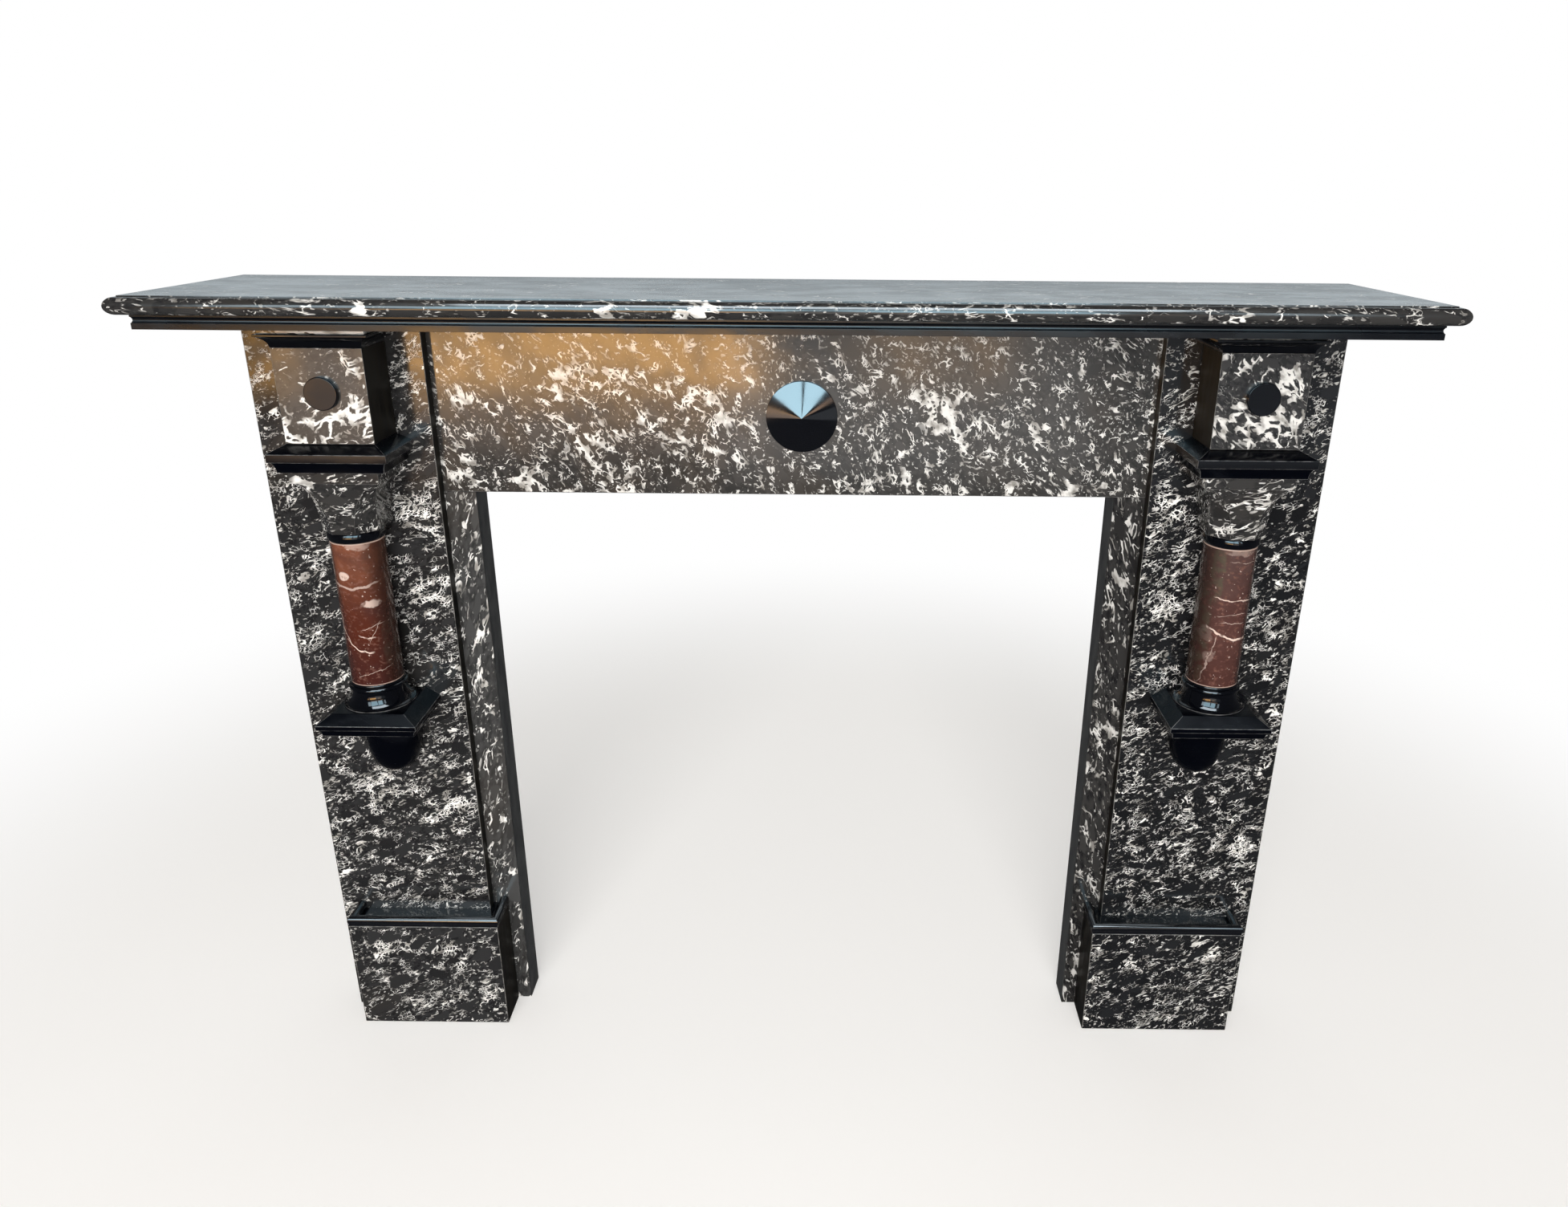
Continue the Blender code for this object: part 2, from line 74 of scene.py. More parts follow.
def ease_arrises(piece, width, segments=3, sharper_than=28):
    """Rubs the sharp edges down as a polisher does, and keeps the flats flat in the shading.

    A piece with two stones keeps the second one for its arrises.
    """
    bevel = piece.modifiers.new("arrises", "BEVEL")
    bevel.width = width
    bevel.segments = segments
    bevel.limit_method = "ANGLE"
    bevel.angle_limit = radians(sharper_than)
    bevel.material = min(len(piece.data.materials) - 1, 1)
    bpy.ops.object.modifier_apply(modifier=bevel.name)
    smooth_below(40)
    weighted = piece.modifiers.new("flats", "WEIGHTED_NORMAL")
    weighted.keep_sharp = True
    bpy.ops.object.modifier_apply(modifier=weighted.name)


def give_stones(piece, *stones):
    """The stone of its faces, then that of its arrises, pale with wear and painted highlight, then
    those of its sides, with painted shade, and of its rough backs.
    """
    for stone in stones:
        piece.data.materials.append(stone)


def stone_backs_and_shaded_sides(piece, stone, *directions):
    """Gives the stone of that number to the sides that face the directions, each an (x, y)."""
    for polygon in piece.data.polygons:
        normal = polygon.normal
        if any(normal.x * x + normal.y * y > 0.9 for x, y in directions):
            polygon.material_index = stone


def hand_over(piece, node):
    """Puts a finished piece in the place of its CAD node."""
    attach(piece, "root")
    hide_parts(node)


def feed(tree, socket, value):
    if isinstance(value, bpy.types.NodeSocket):
        tree.links.new(value, socket)
    else:
        socket.default_value = value


def calc(tree, operation, *values, clamp=False):
    node = tree.nodes.new("ShaderNodeMath")
    node.operation = operation
    node.use_clamp = clamp
    for socket, value in zip(node.inputs, values):
        feed(tree, socket, value)
    return node.outputs[0]


def vector_calc(tree, operation, *values):
    node = tree.nodes.new("ShaderNodeVectorMath")
    node.operation = operation
    for socket, value in zip(node.inputs, values):
        feed(tree, socket, value)
    return node.outputs["Value" if operation == "LENGTH" else "Vector"]


def cloud(tree, vector, scale, detail=2.0, roughness=0.5, distortion=0.0):
    """Noise over the surface, about 0.5 in the middle."""
    node = tree.nodes.new("ShaderNodeTexNoise")
    feed(tree, node.inputs["Vector"], vector)
    feed(tree, node.inputs["Scale"], scale)
    node.inputs["Detail"].default_value = detail
    node.inputs["Roughness"].default_value = roughness
    node.inputs["Distortion"].default_value = distortion
    return node.outputs["Fac"]


def cells(tree, vector, scale, feature="F1", output="Distance"):
    node = tree.nodes.new("ShaderNodeTexVoronoi")
    node.feature = feature
    feed(tree, node.inputs["Vector"], vector)
    feed(tree, node.inputs["Scale"], scale)
    return node.outputs[output]


def ramp(tree, value, low, high, start=0.0, end=1.0):
    """Goes smoothly from start to end while value goes from low to high."""
    node = tree.nodes.new("ShaderNodeMapRange")
    node.interpolation_type = "SMOOTHSTEP"
    for socket, number in zip(node.inputs, (value, low, high, start, end)):
        feed(tree, socket, number)
    return node.outputs[0]


def mix(tree, factor, first, second):
    node = tree.nodes.new("ShaderNodeMix")
    node.data_type = "RGBA"
    for number, value in ((0, factor), (6, first), (7, second)):
        feed(tree, node.inputs[number], (*value, 1) if isinstance(value, tuple) else value)
    return node.outputs[2]


def shift_by_noise(tree, vector, scale, amount, detail=2.0):
    """Pushes the pattern's coordinates about, so that straight cell edges turn ragged."""
    noise = tree.nodes.new("ShaderNodeTexNoise")
    feed(tree, noise.inputs["Vector"], vector)
    noise.inputs["Scale"].default_value = scale
    noise.inputs["Detail"].default_value = detail
    centred = vector_calc(tree, "SUBTRACT", noise.outputs["Color"], (0.5, 0.5, 0.5))
    return vector_calc(tree, "MULTIPLY_ADD", centred, (amount, amount, amount), vector)


def new_group(name, inputs, outputs):
    """An empty shader group with a vector input and float sockets."""
    group = bpy.data.node_groups.new(name, "ShaderNodeTree")
    group.interface.new_socket("Vector", in_out="INPUT", socket_type="NodeSocketVector")
    for label in inputs:
        group.interface.new_socket(label, in_out="INPUT", socket_type="NodeSocketFloat")
    for label in outputs:
        group.interface.new_socket(label, in_out="OUTPUT", socket_type="NodeSocketFloat")
    given = group.nodes.new("NodeGroupInput").outputs
    return group, given, group.nodes.new("NodeGroupOutput").inputs


def make_shard_group():
    """White slivers, curls, specks and lacy patches between dark lumps, as in fractured marble.

    Spread scatters the slivers more evenly, Crowd adds to the places where they gather, and Haze
    puts out their faint grey margins.
    """
    labels = ("Lumps", "Slivers", "Thickness", "Spread", "Curls", "Specks", "Patches", "Crowd")
    masks = ("White", "Haze", "Lump", "Tone", "Cloud")
    group, given, result = new_group("marble_shards", labels, masks)
    vector = given["Vector"]
    swirl = shift_by_noise(group, vector, 15, 0.032, 1)
    ragged = shift_by_noise(group, swirl, 64, 0.0125, 3)

    rounded = shift_by_noise(group, vector, 26, 0.026)
    rim = cells(group, rounded, given["Lumps"], "DISTANCE_TO_EDGE")
    draw = group.nodes.new("ShaderNodeSeparateColor")
    group.links.new(cells(group, rounded, given["Lumps"], "F1", "Color"), draw.inputs[0])
    kept = calc(group, "GREATER_THAN", draw.outputs[1], 0.66)
    lump = calc(group, "MULTIPLY", ramp(group, rim, 0.08, 0.14), kept)

    broad = cloud(group, swirl, 11, 2)
    crowd = calc(group, "MULTIPLY_ADD", cloud(group, swirl, 34, 2), 0.6, broad)
    crowd = ramp(group, calc(group, "ADD", crowd, given["Patches"]), 1.02, 1.28)
    crowd = calc(group, "ADD", crowd, given["Crowd"])
    presence = calc(group, "MULTIPLY_ADD", crowd, 0.16, cloud(group, ragged, 80, 1))
    dash = ramp(group, calc(group, "ADD", presence, given["Spread"]), 0.54, 0.66)
    fine = cells(group, ragged, given["Slivers"], "DISTANCE_TO_EDGE")
    wider = calc(group, "MULTIPLY", given["Slivers"], 0.52)
    coarse = cells(group, ragged, wider, "DISTANCE_TO_EDGE")
    swell = calc(group, "MULTIPLY_ADD", crowd, 0.6, 0.5)
    width = calc(group, "MULTIPLY", given["Thickness"], swell)
    width = calc(group, "MULTIPLY", width, calc(group, "MULTIPLY", dash, 1.8))
    nearest = calc(group, "MINIMUM", fine, calc(group, "MULTIPLY_ADD", coarse, 1.3, 0.02))
    shards = calc(group, "MULTIPLY", calc(group, "SUBTRACT", width, nearest), 34, clamp=True)
    margin = calc(group, "MULTIPLY_ADD", width, 1.4, 0.03)
    haze = calc(group, "MULTIPLY", calc(group, "SUBTRACT", margin, nearest), 9, clamp=True)

    winding = calc(group, "MULTIPLY", given["Slivers"], 0.5)
    ridge = calc(group, "SUBTRACT", cloud(group, ragged, winding, 1, 0.5, 0.8), 0.5)
    ridge = calc(group, "ABSOLUTE", ridge)
    stroke = calc(group, "MULTIPLY_ADD", crowd, 0.12, cloud(group, swirl, 60, 1))
    stroke = calc(group, "MULTIPLY", given["Curls"], ramp(group, stroke, 0.54, 0.66))
    curls = calc(group, "MULTIPLY", calc(group, "SUBTRACT", stroke, ridge), 45, clamp=True)
    specks = ramp(group, cloud(group, ragged, 270, 1), 0.62, 0.67)
    specks = calc(group, "MULTIPLY", specks, given["Specks"])
    loose = calc(group, "MAXIMUM", calc(group, "MAXIMUM", curls, specks), shards)
    clear = calc(group, "SUBTRACT", 1, lump)
    lace = calc(group, "MULTIPLY", shards, crowd)
    white = calc(group, "MAXIMUM", calc(group, "MULTIPLY", loose, clear), lace)
    group.links.new(white, result["White"])
    group.links.new(calc(group, "MULTIPLY", haze, clear), result["Haze"])
    group.links.new(lump, result["Lump"])
    group.links.new(draw.outputs[0], result["Tone"])
    group.links.new(cloud(group, vector, 7, 3), result["Cloud"])
    return group


def object_places(tree):
    return tree.nodes.new("ShaderNodeTexCoord").outputs["Object"]


def start_material(name, slide, turn, stretch):
    """A material with a shader and coordinates that are turned and drawn out along the streaks."""
    material = bpy.data.materials.new(name)
    material.use_nodes = True
    tree = material.node_tree
    mapping = tree.nodes.new("ShaderNodeMapping")
    mapping.vector_type = "TEXTURE"
    tree.links.new(object_places(tree), mapping.inputs["Vector"])
    mapping.inputs["Location"].default_value = slide
    mapping.inputs["Rotation"].default_value = (0, radians(turn), 0)
    mapping.inputs["Scale"].default_value = (stretch, 1, 1)
    return material, tree, tree.nodes["Principled BSDF"], mapping.outputs["Vector"]


SHARDS = make_shard_group()


def finish_stone(tree, shader, colour, value, rough):
    """Lays the colour on, and dulls the polish where value, a cloud of noise, is high."""
    tree.links.new(colour, shader.inputs["Base Color"])
    tree.links.new(ramp(tree, value, 0.35, 0.7, *rough), shader.inputs["Roughness"])


def gathered(tree, clots, most, front):
    """Most where shards gather in a clot, nought away from them all, for (x, z, radius) places.

    A clot runs right through a thin slab. With a front, as on a deep one, it is a ball there.
    """
    inward = 0 if front is None else 1
    front = front or 0
    place = shift_by_noise(tree, object_places(tree), 30, 0.03)
    total = 0.0
    for x, z, radius in clots:
        shares = (1 / radius, inward / radius, 1 / radius)
        center = (-x / radius, -inward * front / radius, -z / radius)
        away = vector_calc(tree, "MULTIPLY_ADD", place, shares, center)
        nearness = calc(tree, "SUBTRACT", 1, vector_calc(tree, "LENGTH", away))
        total = calc(tree, "MAXIMUM", total, nearness)
    return ramp(tree, total, 0.0, 0.7, 0, most)


def flecked_marble(name, slide=(0, 0, 0), turn=-25, stretch=1.6, lumps=52, slivers=125,
                   thickness=0.11, curls=0.04, specks=0.6, patches=0.20, spread=0, whiteness=0.85,
                   dark=(0.013, 0.013, 0.014), pale=(0.036, 0.035, 0.034), clots=(),
                   crowding=0.75, front=None):
    """Polished dark marble, thick with white and cream shards that lie along its streaks."""
    material, tree, shader, vector = start_material(name, slide, turn, stretch)
    pattern = tree.nodes.new("ShaderNodeGroup")
    pattern.node_tree = SHARDS
    values = {"Lumps": lumps, "Slivers": slivers, "Thickness": thickness, "Spread": spread,
              "Curls": curls, "Specks": specks, "Patches": patches}
    tree.links.new(vector, pattern.inputs["Vector"])
    for label, value in values.items():
        pattern.inputs[label].default_value = value
    if clots:
        tree.links.new(gathered(tree, clots, crowding, front), pattern.inputs["Crowd"])
    mottle = cloud(tree, vector, 150, 3)
    matrix = ramp(tree, mottle, 0.30, 0.70, 0.15, 0.9)
    lump_tone = ramp(tree, pattern.outputs["Tone"], 0.1, 0.9, 0.3, 1.0)
    tone = mix(tree, pattern.outputs["Lump"], matrix, lump_tone)
    ground = mix(tree, tone, dark, pale)
    warm = (1.12 * pale[0], 0.94 * pale[1], 0.77 * pale[2])
    browned = mix(tree, ramp(tree, pattern.outputs["Cloud"], 0.5, 0.72, 0, 0.4), ground, warm)
    haze = calc(tree, "MULTIPLY", pattern.outputs["Haze"], 0.35)
    hazed = mix(tree, haze, browned, (0.15, 0.145, 0.14))
    greyed = tuple(whiteness * channel for channel in (0.34, 0.325, 0.30))
    cream = tuple(whiteness * channel for channel in (1.0, 0.985, 0.95))
    chalk = mix(tree, ramp(tree, cloud(tree, vector, 80, 2), 0.36, 0.64), greyed, cream)
    colour = mix(tree, pattern.outputs["White"], hazed, chalk)
    finish_stone(tree, shader, colour, cloud(tree, vector, 22, 2), (0.09, 0.17))
    bump = tree.nodes.new("ShaderNodeBump")
    bump.inputs["Strength"].default_value = 0.05
    bump.inputs["Distance"].default_value = 0.0005
    tree.links.new(pattern.outputs["White"], bump.inputs["Height"])
    tree.links.new(bump.outputs[0], shader.inputs["Normal"])
    return material


def plain_stone(name, dark, pale, scale, rough, streak=1, gloss=0.5):
    """Stone with little figure: a dark and a pale tone clouded together, drawn out upwards."""
    material, tree, shader, vector = start_material(name, (0, 0, 0), 90, streak)
    grain = cloud(tree, vector, scale, 4, 0.6)
    tree.links.new(mix(tree, ramp(tree, grain, 0.3, 0.7), dark, pale), shader.inputs["Base Color"])
    tree.links.new(ramp(tree, grain, 0.3, 0.7, *rough), shader.inputs["Roughness"])
    shader.inputs["Specular IOR Level"].default_value = gloss
    return material


# Painted shade: a near-black stone with faint streaks, given to the sides of the jambs, foot
# blocks and corbel blocks to stand for the shade that falls on them.
SIDE_SHADE = plain_stone("painted_side_shade", (0.0015, 0.0015, 0.0015), (0.020, 0.017, 0.013), 110,
                   rough=(0.35, 0.50), streak=7, gloss=0.08)
ROUGH_BACK = plain_stone("rough_back", (0.030, 0.029, 0.028), (0.085, 0.082, 0.077), 70,
                         rough=(0.55, 0.75), streak=7, gloss=0.2)
# Pale arrises on the flecked pieces: partly wear, partly a painted highlight along the edges.
MARBLE_ARRIS_WEAR_AND_HIGHLIGHT = plain_stone("marble_arris_wear_and_painted_highlight", (0.03, 0.029, 0.028), (0.20, 0.195, 0.185), 90,
                          rough=(0.35, 0.50), gloss=0.25)
JAMB_CLOTS = {
    "left": ((-0.550, 0.894, 0.047), (-0.547, 0.768, 0.046), (-0.672, 0.435, 0.055),
             (-0.559, 0.406, 0.045), (-0.530, 1.092, 0.016)),
    "right": ((0.542, 0.904, 0.038), (0.542, 0.753, 0.044), (0.703, 0.337, 0.052),
              (0.728, 0.716, 0.028)),
}
LEG_SHARDS = {"thickness": 0.050, "curls": 0.055, "patches": 0.06, "spread": 0.045,
              "crowding": 0.65}
JAMB_STONE = {
    "left": {"dark": (0.009, 0.009, 0.0095), "pale": (0.027, 0.027, 0.028)},
    "right": {"dark": (0.0045, 0.0048, 0.0056), "pale": (0.014, 0.0148, 0.0165)},
}
for name, side in SIDES.items():
    marble = flecked_marble(f"jamb_marble_{name}", (0.4 * side, 0, 0.2), turn=-24, stretch=1.7,
                            slivers=200, whiteness=0.95, clots=JAMB_CLOTS[name], **LEG_SHARDS,
                            **JAMB_STONE[name])
    for node in (f"jamb_{name}", f"jamb_return_{name}"):
        slab = start_slab(node.replace("jamb", "jamb_slab"), *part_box(node))
        give_stones(slab, marble, MARBLE_ARRIS_WEAR_AND_HIGHLIGHT, SIDE_SHADE, ROUGH_BACK)
        ease_arrises(slab, SLAB_ARRIS)
        # The jamb slab's side towards the opening gets the painted shade; the return's side gets
        # the rough back.
        stone_backs_and_shaded_sides(slab, 3 if "return" in node else 2, (-side, 0))
        stone_backs_and_shaded_sides(slab, 3, BEHIND)
        hand_over(slab, node)

# Slips: narrow polished strips of the same marble beside the opening, and behind them strips of
# plain dark stone, only honed, that line it. The two meet in a mitre at the arris.
slate = plain_stone("honed_slate", (0.028, 0.029, 0.029), (0.062, 0.063, 0.062), 60,
                    rough=(0.38, 0.52), streak=3)
SLIP_STONE = {
    "left": {"thickness": 0.070, "curls": 0.05, "specks": 0.3, "patches": 0.06, "whiteness": 0.85,
             "dark": (0.022, 0.022, 0.022), "pale": (0.064, 0.064, 0.064)},
    "right": {"thickness": 0.095, "patches": 0.12, "whiteness": 0.60,
              "dark": (0.006, 0.006, 0.007)},
}
SLIP_CLOTS = {
    "left": ((-0.491, 0.876, 0.013), (-0.489, 0.826, 0.012), (-0.484, 0.365, 0.012),
             (-0.481, 0.271, 0.015)),
    "right": ((0.486, 0.794, 0.034), (0.494, 0.532, 0.030), (0.492, 0.466, 0.022),
              (0.484, 0.084, 0.014)),
}
for name, side in SIDES.items():
    marble = flecked_marble(f"slip_marble_{name}", (0.1, 0, 0.7 + 0.3 * side), turn=76 * side,
                            stretch=2.6, slivers=110, clots=SLIP_CLOTS[name], **SLIP_STONE[name])
    for node, stone in ((f"slip_{name}", marble), (f"slip_return_{name}", slate)):
        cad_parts[node].data.materials.clear()
        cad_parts[node].data.materials.append(stone)

# Frieze: one polished slab of the flecked marble across the top of the opening, resting on the
# slips, with its ends held behind the jambs.
FRIEZE_CLOTS = ((-0.329, 1.079, 0.040), (-0.478, 1.063, 0.028), (-0.472, 0.956, 0.034),
                (-0.384, 0.942, 0.040), (-0.280, 0.998, 0.036), (-0.171, 0.993, 0.028),
                (-0.099, 1.036, 0.018), (-0.134, 1.062, 0.030), (-0.214, 1.040, 0.020),
                (0.345, 1.016, 0.022), (0.152, 0.955, 0.022))
marble = flecked_marble("frieze_marble", (0.9, 0, 0.3), turn=50, stretch=1.3, thickness=0.095,
                        curls=0.06, patches=0.155, whiteness=0.76, clots=FRIEZE_CLOTS,
                        dark=(0.018, 0.018, 0.018), pale=(0.046, 0.044, 0.042))
frieze = start_slab("frieze_slab", *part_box("frieze"))
give_stones(frieze, marble, MARBLE_ARRIS_WEAR_AND_HIGHLIGHT, ROUGH_BACK)
ease_arrises(frieze, SLAB_ARRIS)
stone_backs_and_shaded_sides(frieze, 2, BEHIND)
hand_over(frieze, "frieze")


# Boss: a low cone of black marble with a thin rim, turned in a lathe, rubbed to a high polish and
# stuck on the frieze a little right of its middle.
def black_marble(name, slide=(0, 0, 0), gloss=0.45, rough=(0.06, 0.13),
                 ground=(0.0016, 0.0020, 0.0034)):
    """Polished near-black marble with a faint blue cast and fainter grey veils."""
    material, tree, shader, vector = start_material(name, slide, 15, 2.5)
    veil = ramp(tree, cloud(tree, shift_by_noise(tree, vector, 30, 0.02), 24, 4), 0.55, 0.8)
    black = mix(tree, veil, ground, (0.006, 0.007, 0.010))
    finish_stone(tree, shader, black, cloud(tree, vector, 35, 3), rough)
    shader.inputs["Specular IOR Level"].default_value = gloss
    return material


BLACK = black_marble("black_marble")
# Pale arrises on the black pieces: partly wear, partly a painted highlight along the edges.
BLACK_ARRIS_WEAR_AND_HIGHLIGHT = plain_stone("black_arris_wear_and_painted_highlight", (0.015, 0.016, 0.018), (0.13, 0.13, 0.13), 80,
                         rough=(0.25, 0.4), gloss=0.3)
TURNED_SIDES = 96


def start_outline(name, low, high, sides=4):
    """The bottom face of a piece: a rectangle from corner to corner, or a circle inside it."""
    bpy.ops.object.select_all(action="DESELECT")
    middle = ((low[0] + high[0]) / 2, (low[1] + high[1]) / 2, low[2])
    if sides == 4:
        bpy.ops.mesh.primitive_plane_add(size=1, location=middle)
    else:
        bpy.ops.mesh.primitive_circle_add(vertices=sides, radius=0.5, fill_type="NGON",
                                          location=middle)
    outline = bpy.context.object
    outline.name = name
    outline.scale = (high[0] - low[0], high[1] - low[1], 1)
    apply_moves()
    return outline


def raise_levels(levels, anchor):
    """Extrudes the outline from level to level and draws it in or out about the anchor.

    Each level is (height, width, depth), and the first one is where the outline lies.
    """
    bpy.ops.object.mode_set(mode="EDIT")
    bpy.ops.mesh.select_all(action="SELECT")
    for (z0, width0, depth0), (z1, width1, depth1) in zip(levels, levels[1:]):
        bpy.ops.mesh.extrude_region_move(TRANSFORM_OT_translate={"value": (0, 0, z1 - z0)})
        shares = (width1 / width0, depth1 / depth0, 1)
        bpy.ops.transform.resize(value=shares, center_override=(anchor[0], anchor[1], z1))
    bpy.ops.mesh.select_all(action="SELECT")
    bpy.ops.mesh.normals_make_consistent(inside=False)
    bpy.ops.object.mode_set(mode="OBJECT")


def turn_piece(name, profile, sides=TURNED_SIDES):
    """A piece turned about the Z axis through the origin, from (radius, height) points."""
    radius, z = profile[0]
    piece = start_outline(name, (-radius, -radius, z), (radius, radius, z), sides)
    raise_levels([(z, 2 * radius, 2 * radius) for radius, z in profile], (0, 0))
    return piece


def put_in_place(piece, location, rotation=(0, 0, 0)):
    piece.rotation_euler = rotation
    piece.location = location
    apply_moves()


BOSS_SIDES = 128
BOSS_RIM = 0.003
BOSS_STEP = (0.0004, 0.0002)
BOSS_TIP = 0.0004
FACING_OUT = (radians(90), 0, 0)
low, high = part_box("frieze_boss")
radius = (high.x - low.x) / 2
height = high.y - low.y
profile = [(radius, 0), (radius, BOSS_RIM)]
profile += [(radius - BOSS_STEP[0], BOSS_RIM + BOSS_STEP[1]), (BOSS_TIP, height)]
boss = turn_piece("boss_cone", profile, BOSS_SIDES)
put_in_place(boss, ((low.x + high.x) / 2, high.y, (low.z + high.z) / 2), FACING_OUT)
smooth_below(8)
give_stones(boss, black_marble("boss_black", (0.3, 0, 0.2), 1.0))
hand_over(boss, "frieze_boss")


# Foot blocks: solid plinths of the flecked marble that stand on the floor at the foot of each leg,
# polished in front and notched behind to fit round the jamb's inner edge.
JOINT = 0.0003


def select_only(piece):
    bpy.ops.object.select_all(action="DESELECT")
    piece.select_set(True)
    bpy.context.view_layer.objects.active = piece


def notch_round_jamb(piece, name):
    """Cuts out the corner where the jamb slab stands, with the joint round it."""
    jamb_low, jamb_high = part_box(f"jamb_{name}")
    clear = Vector((JOINT, JOINT, 0.1))
    cutter = start_slab("jamb_cutter", jamb_low - clear, jamb_high + clear)
    select_only(piece)
    notch = piece.modifiers.new("notch", "BOOLEAN")
    notch.operation = "DIFFERENCE"
    notch.object = cutter
    bpy.ops.object.modifier_apply(modifier=notch.name)
    bpy.data.objects.remove(cutter, do_unlink=True)


FOOT_ARRIS = 0.0012
FOOT_CLOTS = {
    "left": ((-0.681, 0.147, 0.029), (-0.573, 0.157, 0.019), (-0.516, 0.058, 0.024),
             (-0.666, 0.056, 0.016)),
    "right": ((0.690, 0.157, 0.026), (0.655, 0.124, 0.019)),
}
for name, side in SIDES.items():
    marble = flecked_marble(f"foot_marble_{name}", (0.2, 0.3 * side, 0.5), turn=-30, stretch=1.8,
                            slivers=190, clots=FOOT_CLOTS[name], **LEG_SHARDS, **JAMB_STONE[name])
    block = start_slab(f"plinth_block_{name}", *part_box(f"foot_block_{name}"))
    give_stones(block, marble, MARBLE_ARRIS_WEAR_AND_HIGHLIGHT, SIDE_SHADE)
    notch_round_jamb(block, name)
    ease_arrises(block, FOOT_ARRIS)
    # Painted shade on the block's side towards the opening.
    stone_backs_and_shaded_sides(block, 2, (-side, 0))
    hand_over(block, f"foot_block_{name}")

# Foot mouldings: a slab of black marble bedded on each foot block, with a fine fillet and a fat
# bead worked along its inner side, front and outer side, and a lower ledge behind the bead.
BEAD_RADIUS = 0.007
BEAD_OVERHANG = 0.0015
BEAD_FILLET = 0.002
BEAD_START = -38
BEAD_END = 239
SPARE_DEPTH = 0.02


def turns(start, end, steps):
    """Angles in radians, in even steps from start to end, which are in degrees."""
    return [radians(start + (end - start) * i / steps) for i in range(steps + 1)]


def arc(center, radius, angles):
    """Points (along, up) of a round stretch."""
    return [(center[0] + radius * cos(turn), center[1] + radius * sin(turn)) for turn in angles]


def moulded_slab(name, low, high, profile):
    """A slab flat behind, with one moulding on its front and two ends.

    profile is a list of (height, growth of the outline), bottom to top. The slab is raised with
    spare depth behind and sawn off at its back, so that the moulding ends cleanly there.
    """
    back = high.y + SPARE_DEPTH
    base = low.z + profile[0][0]
    width = high.x - low.x
    depth = back - low.y
    middle = (low.x + high.x) / 2
    levels = [(low.z + z, width + 2 * growth, depth + growth) for z, growth in profile]
    first = profile[0][1]
    slab = start_outline(name, (low.x - first, low.y - first, base), (high.x + first, back, base))
    raise_levels(levels, (middle, back))
    saw_behind(high.y)
    return slab


def saw_behind(y):
    bpy.ops.object.mode_set(mode="EDIT")
    bpy.ops.mesh.select_all(action="SELECT")
    bpy.ops.mesh.bisect(plane_co=(0, y, 0), plane_no=(0, 1, 0), use_fill=True, clear_outer=True)
    bpy.ops.object.mode_set(mode="OBJECT")


BEAD_BLACK = black_marble("bead_black", (0.5, 0.1, 0), 1.0, (0.09, 0.15))
center = (BEAD_OVERHANG - BEAD_RADIUS, BEAD_FILLET + BEAD_RADIUS)
stretch = arc(center, BEAD_RADIUS, turns(BEAD_START, BEAD_END, 32))
bead = [(up, along) for along, up in stretch]
for name in SIDES:
    low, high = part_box(f"foot_moulding_{name}")
    block_low, block_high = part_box(f"foot_block_{name}")
    low = Vector((block_low.x, block_low.y, low.z))
    high = Vector((block_high.x, high.y, high.z))
    slab = moulded_slab(f"bead_slab_{name}", low, high, [(0, 0)] + bead)
    notch_round_jamb(slab, name)
    smooth_below(40)
    give_stones(slab, BEAD_BLACK)
    hand_over(slab, f"foot_moulding_{name}")

# Packing pieces: thin offcuts of the flecked marble, bedded in plaster between the under slab and
# each corbel stack to make up the height.
PACKING_ARRIS = 0.0015
for name in SIDES:
    marble = flecked_marble(f"packing_marble_{name}", (0.7, 0.1, 0.4), 8, 3, patches=0.40)
    offcut = start_slab(f"marble_packing_{name}", *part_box(f"packing_{name}"))
    give_stones(offcut, marble)
    ease_arrises(offcut, PACKING_ARRIS)
    hand_over(offcut, f"packing_{name}")

# Ovolos: slabs of black marble bedded over the corbel blocks, with a flat quarter round worked on
# the front and both ends and a thin fillet above it.
FINE_ARRIS = 0.0006
OVOLO_FLATNESS = 1.5
OVOLO_FILLET = 0.003
for name in SIDES:
    low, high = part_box(f"ovolo_{name}")
    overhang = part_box(f"corbel_block_{name}")[0].x - low.x
    round_height = high.z - low.z - OVOLO_FILLET
    profile = []
    for turn in turns(0, 90, 16):
        profile.append((round_height * sin(turn), -overhang * cos(turn) ** OVOLO_FLATNESS))
    profile.append((high.z - low.z, 0))
    slab = moulded_slab(f"ovolo_slab_{name}", low, high, profile)
    give_stones(slab, BLACK)
    ease_arrises(slab, FINE_ARRIS, 2)
    hand_over(slab, f"ovolo_{name}")


